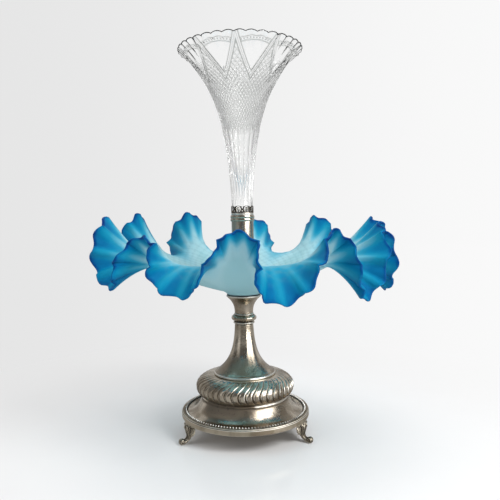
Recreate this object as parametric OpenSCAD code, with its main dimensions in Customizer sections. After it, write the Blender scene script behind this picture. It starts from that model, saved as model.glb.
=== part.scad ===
// Epergne: a silver-plated stand that carries a ruffled glass bowl and a glass trumpet vase.
// Millimetres, +Z up, -Y to the front. The origin lies on the table, under the middle of the stand.

/* [Feet] */
// Height of the skirt's lower edge above the table
foot_h = 17.3; // [15:0.1:24]
// Distance of a toe scroll beyond the middle of the skirt moulding
toe_out = 9; // [7:0.5:14]
// Radius of a toe scroll
toe_r = 3; // [2.2:0.1:4]
// Width of a foot at its ankle
ankle_w = 5.6; // [4:0.1:8]
// Width of a foot's leaf bracket under the skirt
bracket_w = 21; // [14:0.5:28]
// Thickness of a foot at its bracket
leg_t = 4.2; // [3:0.1:5]

/* [Base] */
// Outer radius of the skirt moulding
skirt_r = 63; // [60:0.5:75]
// Height of the skirt moulding
skirt_h = 6.2; // [5:0.1:10]
// Width of the skirt's lip outside the bead row
lip_w = 3.2; // [2.6:0.1:5]
// Width of the ledge inside the skirt that the plate rests on
ledge_w = 4.5; // [3:0.1:8]
// Depth of the bead groove below the skirt's lip
groove_d = 0.9; // [0.4:0.1:1.4]
// Diameter of a bead of the border
bead_d = 2; // [1.4:0.1:2.6]
// Beads in the border
bead_n = 132; // [60:4:140]
// Rise of the dome from the bead groove to its neck
dome_rise = 14.9; // [8:0.1:24]
// Radius of the neck on which the knop stands
neck_r = 41.5; // [36:0.5:46]
// Thickness of the spun sheet
sheet_t = 1.2; // [0.8:0.1:2]

/* [Knop and stem] */
// Greatest radius of the gadrooned knop
knop_r = 48.5; // [46.5:0.5:56]
// Height of the knop from its neck to its widest line
knop_low = 9.2; // [6:0.1:14]
// Height of the knop from its widest line to its top
knop_high = 10.7; // [6:0.1:16]
// Gadroons around the knop
gadroons = 44; // [20:2:48]
// Depth of the grooves between the gadroons
gadroon_d = 1.5; // [0.6:0.1:2]
// Turn of the gadroons from the knop's widest line to its top, in degrees
swirl = 13; // [0:1:30]
// Radius of the ring at the foot of the stem
stem_foot_r = 30.6; // [24:0.2:33]
// Height of the ring at the foot of the stem
stem_ring_h = 2.4; // [1.6:0.1:4]
// Radius of the stem at its top
stem_top_r = 9.2; // [7:0.1:12]
// Height of the stem
stem_h = 49.1; // [36:0.1:70]
// How fast the stem narrows above its foot
stem_curve = 3.5; // [2:0.1:5]
// Wall of the stem
stem_t = 1.5; // [1:0.1:2.5]
// Greatest radius of the ringed collar
collar_r = 12.5; // [11:0.1:16]
// Height of the ringed collar
collar_h = 10.6; // [9:0.1:16]
// Radius of the bowl cup at its lip
cup_r = 17.2; // [15.8:0.1:22]
// Height of the bowl cup
cup_h = 17.9; // [12:0.1:26]
// Radius of the hollow in the bowl cup
cup_hollow_r = 7; // [5:0.1:7.5]

/* [Tie rod] */
// Radius of the tie rod
rod_r = 3; // [2.5:0.1:3.5]
// Length of the rod that is screwed into the socket
rod_grip = 12; // [9:0.5:14]
// Radius of the washer under the dome
washer_r = 14; // [9:0.5:24]
// Thickness of the washer
washer_t = 2; // [1:0.1:3]
// Width across the corners of the nut
nut_d = 11.5; // [10:0.1:14]
// Height of the nut
nut_h = 5; // [4:0.1:6]

/* [Bowl] */
// Mean reach of the ruffled rim from the axis
bowl_r = 133; // [120:1:150]
// Height that the bowl's side would have at its rim without ruffles
bowl_rise = 55; // [45:1:75]
// Share of that height that the side climbs evenly, the rest of it curving up
bowl_even = 0.5; // [0.3:0.05:0.8]
// Thickness of the glass
bowl_t = 3; // [2.4:0.1:4]
// Radius of the flat seat under the bowl
seat_r = 16.5; // [14:0.1:17]
// Thickness of the seat
seat_t = 6.3; // [5:0.1:8]
// Radius of the hole through the seat
bowl_hole_r = 6; // [5.6:0.1:7]
// Share of the side, from the seat, that stays free of ruffles
calm = 0.64; // [0.5:0.01:0.75]
// How far the rim swings outwards between an up fold and a down fold
swing = 12; // [4:1:16]
// How far the lowest fold of the rim hangs below that height
ruffle_h = 55; // [40:1:60]
// Depth of the fine crimps at the rim
crimp_d = 3; // [0:0.1:4]
// Depth of the pleats that run down from the rim
pleat_d = 2; // [0:0.1:3]

/* [Socket] */
// Thickness of the felt washers
felt_t = 1.2; // [0.8:0.1:2]
// Radius of the clamp disc in the bowl
clamp_r = 15.5; // [13:0.1:18]
// Thickness of the clamp disc
clamp_t = 2; // [1.5:0.1:3]
// Radius of the socket's spigot through the clamp disc
spigot_r = 5; // [4.4:0.1:5.2]
// Outer radius of the socket tube
tube_r = 11; // [10.6:0.1:13]
// Wall of the socket tube
tube_t = 0.8; // [0.6:0.1:1]
// Height of the socket tube
tube_h = 68.7; // [60:0.1:90]
// Height of the solid floor of the socket
floor_h = 20; // [18:0.5:24]
// Height of the reeded band round the socket's top
band_h = 6; // [4:0.1:10]
// Height of the reeds on the band
reed_d = 0.5; // [0.2:0.1:0.8]
// Height of the pierced gallery
gallery_h = 9.6; // [8:0.1:14]
// Wall of the gallery
gallery_t = 0.8; // [0.6:0.1:1.2]
// Leaves round the gallery
leaves = 8; // [6:1:9]

/* [Vase] */
// Height of the vase above the gallery
vase_h = 156; // [120:1:200]
// Radius of the vase where it leaves the gallery
vase_foot_r = 10.3; // [9.6:0.1:10.4]
// Radius of the vase's mouth
vase_mouth_r = 63.8; // [45:0.2:80]
// Radius towards which the vase narrows
vase_core_r = 8; // [6:0.1:9]
// Radius of the peg in the socket
peg_r = 8.6; // [7:0.1:8.8]
// Glass at the mouth
mouth_t = 2.8; // [2:0.1:4]
// Glass round the foot of the hollow
throat_t = 4.2; // [3.5:0.1:5.5]
// Height of the solid glass above the gallery
vase_solid_h = 18; // [8:1:30]
// Fans round the vase's mouth, each over two flutes and under four scallops
fans = 9; // [6:1:12]
// Height of a fan
fan_h = 37; // [25:1:50]
// Depth of a fan
fan_d = 0.9; // [0.3:0.1:1.2]
// Height of the flutes above the gallery
flute_h = 73; // [50:1:90]
// Depth of a flute
flute_d = 0.9; // [0.3:0.1:1.2]
// Depth of the scallops of the mouth
scallop_d = 1.7; // [0.6:0.1:2.4]

/* [Hidden] */
// Radial clearance of a running fit
fit = 0.05;
// Clearance of a hole that the tie rod only passes through
pass_gap = 0.3;
// Clearance between pieces that stand apart
gap = 0.3;
// Depth by which a cutting shape passes the face it cuts
over = 1;
// Sides of round shapes
$fn = 96;

// Angles of the feet, from the front towards the right
foot_turns = [-60, 60, 180];
// Folds of the bowl's rim, up and down in turn: angle from the front, reach beyond bowl_r as a share of
// swing, height above bowl_rise as a share of ruffle_h, and how far the flank after the fold leans over
// as a share of its width
folds = [
    [-2.5, -1, 0.16, 0.24], [13.2, -0.17, -0.95, 0.04], [39.5, -1, 0.15, 0.20], [50, 0.25, -1, 0.12],
    [68, 0.25, 0.24, 0.15], [84, 0.67, -1, 0.15], [101, 0.5, 0.33, 0.15], [118, 0.42, -0.87, 0.15],
    [136, -0.92, 0.38, 0.15], [155, 0.08, -0.84, 0.15], [174, -1.08, 0.35, 0.15], [193, 0.08, -0.84, 0.15],
    [211.5, -1, 0.49, 0.15], [228, 0.17, -0.84, 0.15], [245, -0.67, 0.47, 0.12], [261, 0.42, -0.84, 0.12],
    [278, 0, 0.4, 0.15], [302.5, 0.58, -0.78, 0.15], [317, -0.83, 0.09, 0.16], [336.6, -0.33, -0.85, 0.04]];
// Steps on each flank of a fold, and rings from the seat to the rim
flank_steps = 8;
bowl_rings = 13;
// Power with which the ruffles grow towards the rim
fold_power = 1.6;
// Crimps on each flank of a fold, and the share of the side, from the seat, that stays free of them
flank_crimps = 4;
uncrimped = 0.72;
// Steps across a gadroon, and rings from the knop's neck to its top
gadroon_steps = 6;
knop_rings = 10;
// Turn of the first fan from the front
fan_turn = -24;
// Steps across a fan, and rings of the vase from the gallery to the mouth
fan_steps = 8;
vase_rings = 20;
// Steps along a curved outline
steps = 16;
// Share of its thickness that a leg loses towards the toe
leg_taper = 0.42;
// How fast a foot widens into its leaf bracket, and how far the leaf's edge waves
leaf_power = 3.2;
leaf_wave = 0.16;
// How fast the dome falls from its neck, and the cup opens to its lip
dome_power = 2.4;
cup_power = 2.6;
// Share of the swirl that the gadroons have below the widest line
swirl_low = 0.4;

// Heights of the stack, from the table up
skirt_z = foot_h;
lip_z = skirt_z + skirt_h;
groove_z = lip_z - groove_d;
neck_z = groove_z + dome_rise;
wide_z = neck_z + knop_low;
knop_z = wide_z + knop_high;
stem_z = knop_z + stem_h;
collar_z = stem_z + collar_h;
cup_z = collar_z + cup_h;
seat_z = cup_z + felt_t;
well_z = seat_z + seat_t;
clamp_z = well_z + felt_t;
socket_z = clamp_z + clamp_t;
floor_z = socket_z + floor_h;
band_z = socket_z + tube_h;
gallery_z = band_z + gallery_h;

// Radii that follow from the pieces beside them
lip_r = skirt_r - lip_w;
ledge_r = lip_r - ledge_w;
bead_r = lip_r - fit - bead_d / 2;
plate_r = bead_r - bead_d;
foot_r = skirt_r - lip_w / 2 - leg_t / 4;
rod_hole_r = rod_r + pass_gap;
thread_r = rod_r + fit;
tube_hole_r = tube_r - tube_t;
sleeve_r = tube_hole_r - fit;
knop_flat_r = stem_foot_r + 1;
knop_wall = 1.6 * (gadroon_d + sheet_t);
band_r = tube_r + fit;
band_t = 0.5;
gallery_r = band_r + band_t;
gallery_hole_r = gallery_r - gallery_t;

// Point on a curve with four control points, at the share u of its length
function bezier(a, b, c, d, u) =
    pow(1 - u, 3) * a + 3 * pow(1 - u, 2) * u * b + 3 * (1 - u) * u * u * c + pow(u, 3) * d;

// Arc in the plane, from one angle to another
function arc(centre, r, from, to, n = 8) =
    [for (i = [0:n]) centre + r * [cos(from + (to - from) * i / n), sin(from + (to - from) * i / n)]];

function unit(v) = v / norm(v);
function reversed(list) = [for (i = [len(list) - 1:-1:0]) list[i]];

module turned(outline) rotate_extrude() polygon(outline);

// Ring of rectangular section
module ring(hole_r, r, z, h) turned([[hole_r, z], [r, z], [r, z + h], [hole_r, z + h]]);

// Cast foot: an S-shaped leg under a leaf bracket, ending in a toe scroll with a flat sole
sole_cut = toe_r * 0.07;
leg_start = [foot_r, foot_h];
leg_end = [foot_r + toe_out - toe_r / 2, toe_r * 0.55];
leg_knee = [foot_r + toe_out * 0.65, foot_h * 0.68];
leg_ankle = [foot_r - toe_out * 0.5, foot_h * 0.36];
function leg_point(u) = bezier(leg_start, leg_knee, leg_ankle, leg_end, u);
function leg_side(u) =
    let (d = unit(leg_point(min(1, u + 0.01)) - leg_point(max(0, u - 0.01)))) [-d[1], d[0]];
function leg_half(u) = leg_t / 2 * (1 - leg_taper * u);
function leg_edge(side) =
    [for (i = [0:steps]) let (u = i / steps) leg_point(u) + side * leg_half(u) * leg_side(u)];

module leg_outline() {
    difference() {
        polygon(concat(leg_edge(1), reversed(leg_edge(-1))));
        translate([0, foot_h]) square([2 * foot_r, leg_t]);
        translate([0, -leg_t]) square([2 * foot_r + toe_out, leg_t]);
    }
}

// Half width of a foot at a height: a broad leaf under the skirt, a narrow ankle and toe
function foot_half(z) =
    let (u = z / foot_h, wave = 1 - leaf_wave * sin(540 * u))
    ankle_w / 2 + (bracket_w - ankle_w) / 2 * pow(u, leaf_power) * wave;

module foot(turn) {
    widths = [for (i = [0:steps]) let (z = foot_h * i / steps) [foot_half(z), z]];
    color("silver") rotate(turn) {
        intersection() {
            rotate([90, 0, -90]) linear_extrude(bracket_w + 2 * over, center = true) leg_outline();
            translate([0, -foot_r - toe_out - 2 * toe_r, 0]) rotate([90, 0, 180])
                linear_extrude(4 * toe_out + 4 * toe_r)
                    polygon(concat(widths, [for (p = reversed(widths)) [-p[0], p[1]]]));
        }
        difference() {
            translate([0, -foot_r - toe_out, toe_r - sole_cut]) rotate([0, 90, 0])
                cylinder(h = ankle_w, r = toe_r, center = true);
            translate([-ankle_w, -foot_r - toe_out - 2 * toe_r, -toe_r])
                cube([2 * ankle_w, 4 * toe_r, toe_r]);
        }
    }
}

module foot_front_left() foot(foot_turns[0]);
module foot_front_right() foot(foot_turns[1]);
module foot_back() foot(foot_turns[2]);

// Moulded ring round the base, with a ledge inside for the plate
module skirt_rim() {
    shoulder = lip_w * 0.7;
    chamfer = lip_w * 0.25;
    color("silver") turned(concat(
        [[ledge_r, skirt_z], [skirt_r - chamfer, skirt_z], [skirt_r, skirt_z + chamfer]],
        arc([skirt_r - shoulder, lip_z - shoulder], shoulder, 0, 90),
        [[lip_r, lip_z], [lip_r, groove_z - sheet_t], [ledge_r, groove_z - sheet_t]]));
}

// Spun dome: a flat neck for the knop, a cove that flares out, and a flat rim on the skirt's ledge
function dome_point(u) = [neck_r + (plate_r - neck_r) * u, groove_z + dome_rise * pow(1 - u, dome_power)];

module base_plate() {
    top = [for (i = [0:steps]) dome_point(i / steps)];
    under = [for (p = reversed(top)) p - [sheet_t, sheet_t]];
    color("silver") turned(concat(
        [[rod_hole_r, neck_z]], top,
        [[lip_r - fit, groove_z], [lip_r - fit, groove_z - sheet_t]], under,
        [[rod_hole_r, neck_z - sheet_t]]));
}

// Strip in the groove of the base, with a row of beads along it
module bead_border() {
    strip_h = bead_d * 0.3;
    color("silver") {
        ring(bead_r - bead_d / 2, bead_r + bead_d / 2, groove_z, strip_h);
        for (i = [0:bead_n - 1])
            rotate(360 * i / bead_n) translate([bead_r, 0, groove_z + strip_h / 2])
                cylinder(h = bead_d * 0.6, r1 = bead_d * 0.46, r2 = bead_d * 0.2, $fn = 24);
    }
}

// Squashed knop whose gadroons sweep round it, hollow inside
function knop_point(turn, rise) =
    let (
        low = rise < 0,
        edge_r = low ? neck_r : knop_flat_r,
        lobe = abs(sin(gadroons / 2 * (turn - swirl * (low ? swirl_low : 1) * pow(sin(rise), 2)))),
        r = edge_r + (knop_r - edge_r) * cos(rise) - gadroon_d * (1 - lobe) * sqrt(cos(rise)))
    [r * cos(turn), r * sin(turn), wide_z + (low ? knop_low : knop_high) * sin(rise)];

module gadrooned_knop() {
    n = gadroons * gadroon_steps;
    m = knop_rings;
    points = [for (j = [0:m], i = [0:n - 1]) knop_point(360 * i / n, -90 + 180 * j / m)];
    sides = [for (j = [0:m - 1], i = [0:n - 1]) let (a = j * n + i, b = j * n + (i + 1) % n)
        each [[a, a + n, b + n], [a, b + n, b]]];
    caps = [[for (i = [0:n - 1]) i], [for (i = [n - 1:-1:0]) m * n + i]];
    hollow = [for (j = [0:steps]) let (rise = -90 + 180 * j / steps, edge_r = rise < 0 ? neck_r : knop_flat_r)
        [edge_r + (knop_r - edge_r) * cos(rise) - knop_wall,
         wide_z + (rise < 0 ? knop_low : knop_high) * sin(rise)]];
    color("silver") difference() {
        polyhedron(points, concat(sides, caps));
        turned(concat(
            [[0, neck_z - over], [hollow[0][0], neck_z - over]], hollow,
            [[hollow[steps][0], knop_z + over], [0, knop_z + over]]));
    }
}

// Trumpet-shaped stem on a ringed foot
function stem_r(u) =
    stem_top_r + (stem_foot_r - stem_ring_h / 2 - stem_top_r)
    * (exp(-stem_curve * u) - exp(-stem_curve)) / (1 - exp(-stem_curve));

module trumpet_stem() {
    flare_z = knop_z + stem_ring_h;
    side = [for (i = [0:steps]) let (u = i / steps) [stem_r(u), flare_z + (stem_h - stem_ring_h) * u]];
    inside = [for (i = [0:steps]) let (u = i / steps)
        [stem_r(u) - stem_t, knop_z + (stem_h - 2 * stem_t) * u]];
    color("silver") turned(concat(
        arc([stem_foot_r - stem_ring_h / 2, knop_z + stem_ring_h / 2], stem_ring_h / 2, -90, 60),
        side, [[rod_hole_r, stem_z], [rod_hole_r, stem_z - 2 * stem_t]], reversed(inside)));
}

// Turned collar with one bold ring
module stem_collar() {
    neck = stem_top_r;
    fillet_h = collar_h * 0.17;
    ring_at = collar_h * 0.58;
    bump = [for (i = [0:steps]) let (z = fillet_h + (collar_h - fillet_h) * i / steps)
        [neck + (collar_r - neck) * exp(-pow((z - ring_at) / (collar_h * 0.2), 2)), stem_z + z]];
    color("silver") turned(concat(
        [[rod_hole_r, stem_z], [neck + fillet_h * 0.5, stem_z], [neck + fillet_h * 0.6, stem_z + fillet_h]],
        bump, [[rod_hole_r, collar_z]]));
}

// Flared cup under the bowl, with a hollow above its floor
module bowl_cup() {
    lip = sheet_t;
    floor_t = cup_h * 0.2;
    flare = [for (i = [0:steps]) let (u = i / steps)
        [stem_top_r + (cup_r - stem_top_r) * pow(u, cup_power), collar_z + (cup_h - lip) * u]];
    color("silver") turned(concat(
        [[rod_hole_r, collar_z]], flare,
        [[cup_r, cup_z], [cup_hollow_r, cup_z], [cup_hollow_r, collar_z + floor_t],
         [rod_hole_r, collar_z + floor_t]]));
}

// Rod that draws the stand together and carries the socket
nut_z = neck_z - sheet_t - washer_t - nut_h;
rod_z = nut_z - rod_r;
rod_h = socket_z + rod_grip - rod_z;
module tie_rod() color("gray") translate([0, 0, rod_z]) cylinder(h = rod_h, r = rod_r);
module rod_washer() color("gray") ring(rod_hole_r, washer_r, nut_z + nut_h, washer_t);
module rod_nut() color("gray") translate([0, 0, nut_z]) difference() {
    cylinder(h = nut_h, d = nut_d, $fn = 6);
    translate([0, 0, -over]) cylinder(h = nut_h + 2 * over, r = thread_r);
}

module cup_felt() color("black") ring(cup_hollow_r, seat_r, cup_z, felt_t);
module bowl_felt() color("black") ring(bowl_hole_r, clamp_r, well_z, felt_t);
module clamp_disc() color("silver") ring(spigot_r + fit, clamp_r, clamp_z, clamp_t);

// Middle of the bowl's glass: t counts the folds round the rim, s runs from the seat to the rim
function fold(i) = let (n = len(folds)) folds[i % n] + [360 * floor(i / n), 0, 0, 0];
function fold_weight(s) = pow(max(0, (s - calm) / (1 - calm)), fold_power);
function bowl_point(t, s) =
    let (
        a = fold(floor(t)),
        b = fold(floor(t) + 1),
        f = t - floor(t),
        w = fold_weight(s),
        ease = (1 - cos(180 * f)) / 2,
        turn = a[0] + (b[0] - a[0]) * (f + a[3] * w * sin(360 * f)),
        reach = swing * (a[1] + (b[1] - a[1]) * ease + pow(sin(180 * f), 2)),
        lift = ruffle_h * (a[2] + (b[2] - a[2]) * ease),
        start_r = seat_r - bowl_t,
        r = start_r + (bowl_r - start_r) * s + reach * w,
        z = seat_z + seat_t / 2 + bowl_rise * (bowl_even * s + (1 - bowl_even) * s * s) + lift * w)
    [r * sin(turn), -r * cos(turn), z];

// Unit vector square to the glass, on the side of the hollow
function bowl_normal(t, s) =
    let (
        n = len(folds),
        along = bowl_point((t + 0.02) % n, s) - bowl_point((t - 0.02 + n) % n, s),
        out = bowl_point(t, min(1, s + 0.01)) - bowl_point(t, max(0, s - 0.01)))
    unit(cross(out, along));

// How far the crimps and pleats of the rim stand out of the smooth side; they are calm at the folds
function bowl_crimp(t, s) =
    let (
        turn = 360 * t / len(folds),
        aside = pow(sin(turn), 2),
        wave = (0.6 + 0.25 * sin(11 * turn + 75) + 0.3 * aside) * cos(360 * flank_crimps * t),
        pleat = (0.4 + 0.6 * aside) * (1 - 2 * pow(abs(sin(360 * t + 50 + 30 * sin(9 * turn))), 0.6)),
        near = pow(max(0, (s - uncrimped) / (1 - uncrimped)), fold_power))
    near * sqrt(abs(sin(180 * t))) * (crimp_d * wave + pleat_d * pleat);

// Ruffled bowl: a thick flat seat with a hole, and a side that folds up and down at its crimped rim
module bowl() {
    n = len(folds) * flank_steps;
    m = bowl_rings;
    shares = [for (j = [0:m]) 1 - pow(1 - j / m, 1.25)];
    grid = [for (s = shares, i = [0:n - 1])
        let (t = i / flank_steps) [bowl_point(t, s), bowl_normal(t, s), bowl_crimp(t, s)]];
    upper = [for (g = grid) g[0] + g[1] * (g[2] + bowl_t / 2)];
    lower = [for (g = grid) g[0] + g[1] * (g[2] - bowl_t / 2)];
    under = len(grid);
    skins = [for (j = [0:m - 1], i = [0:n - 1])
        let (a = j * n + i, b = j * n + (i + 1) % n, c = a + under, d = b + under)
        each [[a, b, b + n], [a, b + n, a + n], [c, d + n, d], [c, c + n, d + n]]];
    edges = [for (i = [0:n - 1])
        let (a = i, b = (i + 1) % n, c = m * n + a, d = m * n + b)
        each [[a, a + under, b + under], [a, b + under, b], [c, d, d + under], [c, d + under, c + under]]];
    color("deepskyblue") difference() {
        union() {
            polyhedron(concat(upper, lower), concat(skins, edges));
            translate([0, 0, seat_z]) cylinder(h = seat_t, r = seat_r);
        }
        translate([0, 0, seat_z - over]) cylinder(h = seat_t + 2 * over, r = bowl_hole_r);
    }
}

// Tube that holds the vase, screwed down on the rod through the clamp disc
module vase_socket() {
    thread_z = socket_z + rod_grip + rod_r;
    color("silver") turned([
        [thread_r, clamp_z], [spigot_r, clamp_z], [spigot_r, socket_z], [tube_r, socket_z],
        [tube_r, band_z], [tube_hole_r, band_z], [tube_hole_r, floor_z], [0, floor_z],
        [0, thread_z], [thread_r, thread_z]]);
}

// Band round the top of the tube, with two reeds
module reeded_band() {
    outside = [for (i = [0:2 * steps]) let (u = i / (2 * steps))
        [band_r + band_t + reed_d * pow(sin(360 * u), 2), band_z - band_h * (1 - u)]];
    color("silver") turned(concat([[band_r, band_z - band_h]], outside, [[band_r, band_z]]));
}

// Openwork gallery: round openings between leaves, under a scalloped edge
module pierced_gallery() {
    leaf_w = 2 * PI * gallery_r / leaves;
    color("silver") difference() {
        ring(gallery_hole_r, gallery_r, band_z, gallery_h);
        for (i = [0:leaves - 1]) {
            rotate(360 * i / leaves) translate([0, 0, band_z + gallery_h * 0.55]) rotate([0, 90, 0])
                cylinder(h = gallery_r + over, r = leaf_w * 0.2);
            rotate(360 * (i + 0.5) / leaves) translate([0, 0, band_z + gallery_h * 1.04]) rotate([0, 90, 0])
                cylinder(h = gallery_r + over, r = leaf_w * 0.26);
            rotate(360 * (i + 0.5) / leaves) translate([0, 0, band_z + gallery_h * 0.32]) rotate([0, 90, 0])
                cylinder(h = gallery_r + over, r = leaf_w * 0.13);
        }
    }
}

// Cork that packs the vase's peg in the socket
sleeve_top = band_z - band_h;
module cork_sleeve() color("peru") ring(peg_r + fit, sleeve_r, floor_z, sleeve_top - floor_z);

// Trumpet vase: a peg and shoulder in the socket, and a fluted side that flares to a scalloped mouth
function vase_r(u) =
    vase_core_r
    + (vase_foot_r - vase_core_r) * pow((vase_mouth_r - vase_core_r) / (vase_foot_r - vase_core_r), u);

// Depth by which the flutes and fans are pressed into the side, at an angle from the front
function vase_cut(turn, h) =
    let (
        grow = max(0, min(1, h / (2 * vase_foot_r))),
        fade = max(0, min(1, (flute_h - h) / vase_foot_r)),
        part = (turn - fan_turn) * fans / 360 + 0.5,
        aside = abs(part - floor(part) - 0.5),
        inside = max(0, h - vase_h + fan_h) / fan_h / 2 - aside)
    flute_d * grow * fade * abs(cos(fans * turn)) + fan_d * max(0, min(1, inside * fan_steps));

module vase() {
    n = fans * fan_steps;
    m = vase_rings;
    k = 2 * steps;
    hollow_u = vase_solid_h / vase_h;
    shoulder_r = gallery_hole_r - 2 * gap;
    inside = [for (i = [0:k]) let (u = hollow_u + (1 - hollow_u) * i / k)
        [vase_r(u) - throat_t - (mouth_t - throat_t) * i / k, gallery_z + vase_h * u]];
    foot = [[peg_r, floor_z + gap], [peg_r, sleeve_top], [sleeve_r - gap, sleeve_top],
        [sleeve_r - gap, band_z], [shoulder_r, band_z + gap]];
    rows = concat(
        [for (p = foot) [for (i = [0:n - 1]) p]],
        [for (j = [0:m]) let (u = j / m) [for (i = [0:n - 1])
            [vase_r(u) - vase_cut(360 * i / n, vase_h * u),
             gallery_z + vase_h * u - (j == m ? scallop_d * (i % 2) : 0)]]]);
    points = concat(
        [for (row = rows, i = [0:n - 1]) let (turn = 360 * i / n, p = row[i])
            [p[0] * sin(turn), -p[0] * cos(turn), p[1]]],
        [[0, 0, gallery_z + vase_h - scallop_d]]);
    last = len(rows) - 1;
    sides = [for (j = [0:last - 1], i = [0:n - 1]) let (a = j * n + i, b = j * n + (i + 1) % n)
        each [[a, a + n, b + n], [a, b + n, b]]];
    floor_cap = [for (i = [0:n - 1]) i];
    mouth_cap = [for (i = [0:n - 1]) [len(points) - 1, last * n + (i + 1) % n, last * n + i]];
    color("white") difference() {
        polyhedron(points, concat(sides, [floor_cap], mouth_cap));
        turned(concat(
            [[0, gallery_z + vase_solid_h - throat_t / 2]], inside,
            [[inside[k][0], gallery_z + vase_h + over], [0, gallery_z + vase_h + over]]));
    }
}

foot_front_left();
foot_front_right();
foot_back();
skirt_rim();
base_plate();
bead_border();
gadrooned_knop();
trumpet_stem();
stem_collar();
bowl_cup();
tie_rod();
rod_washer();
rod_nut();
cup_felt();
bowl();
bowl_felt();
clamp_disc();
vase_socket();
reeded_band();
pierced_gallery();
cork_sleeve();
vase();
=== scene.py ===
"""Looks of the epergne: a silver-plated stand, a ruffled satin glass bowl and a trumpet vase."""

import logging
import math
from dataclasses import dataclass
from enum import Enum
from typing import Callable, ClassVar, Mapping, Optional, Sequence, Union

import bmesh
import bpy
import numpy as np
from mathutils import Matrix, Vector


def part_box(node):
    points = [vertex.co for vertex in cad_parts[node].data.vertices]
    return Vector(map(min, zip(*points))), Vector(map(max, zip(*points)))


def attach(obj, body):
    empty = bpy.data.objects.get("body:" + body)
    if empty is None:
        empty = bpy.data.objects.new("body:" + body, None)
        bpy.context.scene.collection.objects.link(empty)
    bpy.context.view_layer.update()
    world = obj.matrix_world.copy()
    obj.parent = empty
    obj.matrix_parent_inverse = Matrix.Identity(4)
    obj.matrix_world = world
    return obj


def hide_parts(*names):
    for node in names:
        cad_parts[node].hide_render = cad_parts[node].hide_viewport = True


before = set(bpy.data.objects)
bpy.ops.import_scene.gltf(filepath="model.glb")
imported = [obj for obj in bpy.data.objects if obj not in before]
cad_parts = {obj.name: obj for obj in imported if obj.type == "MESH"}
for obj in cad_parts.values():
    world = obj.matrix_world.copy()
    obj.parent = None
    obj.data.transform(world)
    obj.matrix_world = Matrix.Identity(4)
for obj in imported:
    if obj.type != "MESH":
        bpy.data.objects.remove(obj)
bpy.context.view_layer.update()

LOG = logging.getLogger("epergne")
MM = 0.001
TAU = 2 * math.pi
MERGE = 1e-6
Colour = tuple[float, float, float]
Side = Callable[[np.ndarray, np.ndarray], np.ndarray]


class Body(Enum):
    """Bodies of the frame that pieces ride on."""

    STAND = "stand"
    BOWL = "bowl"
    SOCKET = "socket"
    VASE = "vase"


class Slot(Enum):
    """Material slots of the record."""

    SILVER = "silver"
    FELT = "felt"
    SATIN_GLASS = "satin_glass"
    CLEAR_GLASS = "clear_glass"


def smooth(low: float, high: float, x: np.ndarray) -> np.ndarray:
    """Eased step from 0 at low to 1 at high.

    Args:
        low: where the step starts.
        high: where it ends.
        x: values to look up.

    Returns:
        The step's height at each value.
    """
    u = np.clip((x - low) / (high - low), 0, 1)
    return u * u * (3 - 2 * u)


def ridge(x: np.ndarray, width: float) -> np.ndarray:
    """Round ridge of height 1 over x = 0 that falls to 0 at half its width."""
    return np.cos(np.clip(x / width, -0.5, 0.5) * math.pi) ** 2


@dataclass(frozen=True)
class Span:
    """Room that a CAD node takes round the axis, in millimetres."""

    radius: float
    low: float
    high: float

    @classmethod
    def of(cls, node: str) -> "Span":
        """Reads a node's greatest radius and its heights from the frame."""
        low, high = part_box(node)
        return cls(max(high.x, -low.x) / MM, low.z / MM, high.z / MM)

    @property
    def height(self) -> float:
        """Height of the node."""
        return self.high - self.low


class Outline:
    """Outline of a turned piece: radius and height of each point, in millimetres."""

    ROUND_STEPS = 5

    def __init__(self) -> None:
        """Starts an empty outline."""
        self.points: list[Vector] = []
        self.rounds: list[float] = []

    def to(self, radius: float, height: float, rounding: float = 0.0) -> "Outline":
        """Adds a corner.

        Args:
            radius: distance from the axis.
            height: height above the table.
            rounding: length of each side that the corner's rounding takes.

        Returns:
            The outline itself.
        """
        self.points.append(Vector((radius, height)))
        self.rounds.append(rounding)
        return self

    def along(self, curve: Callable[[float], tuple[float, float]], steps: int) -> "Outline":
        """Adds points along a curve.

        Args:
            curve: gives radius and height at a share from 0 to 1.
            steps: how many stretches the curve is drawn with.

        Returns:
            The outline itself.
        """
        for i in range(steps + 1):
            self.to(*curve(i / steps))
        return self

    def rounded(self) -> list[Vector]:
        """Rounds the marked corners off.

        Returns:
            The outline's points.
        """
        made: list[Vector] = []
        count = len(self.points)
        for i, (corner, rounding) in enumerate(zip(self.points, self.rounds)):
            if rounding <= 0:
                made.append(corner)
                continue
            before = self.points[i - 1] - corner
            after = self.points[(i + 1) % count] - corner
            length = min(rounding, before.length * 0.49, after.length * 0.49)
            start = corner + before.normalized() * length
            end = corner + after.normalized() * length
            for k in range(self.ROUND_STEPS + 1):
                u = k / self.ROUND_STEPS
                made.append(start * (1 - u) ** 2 + corner * (2 * u * (1 - u)) + end * u * u)
        return made


def turned(outline: Outline, steps: int = 160) -> bmesh.types.BMesh:
    """Turns an outline, whose end joins its start, round the axis.

    Args:
        outline: what is turned, in millimetres.
        steps: columns round the axis.

    Returns:
        The turned mesh, in metres.
    """
    bm = bmesh.new()
    verts = [bm.verts.new((p.x * MM, 0, p.y * MM)) for p in outline.rounded()]
    edges = [bm.edges.new(pair) for pair in zip(verts, verts[1:] + verts[:1])]
    bmesh.ops.spin(bm, geom=verts + edges, cent=(0, 0, 0), axis=(0, 0, 1), angle=TAU, steps=steps,
                   use_merge=True)
    return closed_up(bm)


def closed_up(bm: bmesh.types.BMesh) -> bmesh.types.BMesh:
    """Merges a mesh's seams and turns its faces outwards.

    Args:
        bm: the mesh, which is changed in place.

    Returns:
        The same mesh.
    """
    bmesh.ops.remove_doubles(bm, verts=bm.verts, dist=MERGE)
    bmesh.ops.dissolve_degenerate(bm, dist=MERGE, edges=bm.edges)
    bmesh.ops.recalc_face_normals(bm, faces=bm.faces)
    return bm


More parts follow.
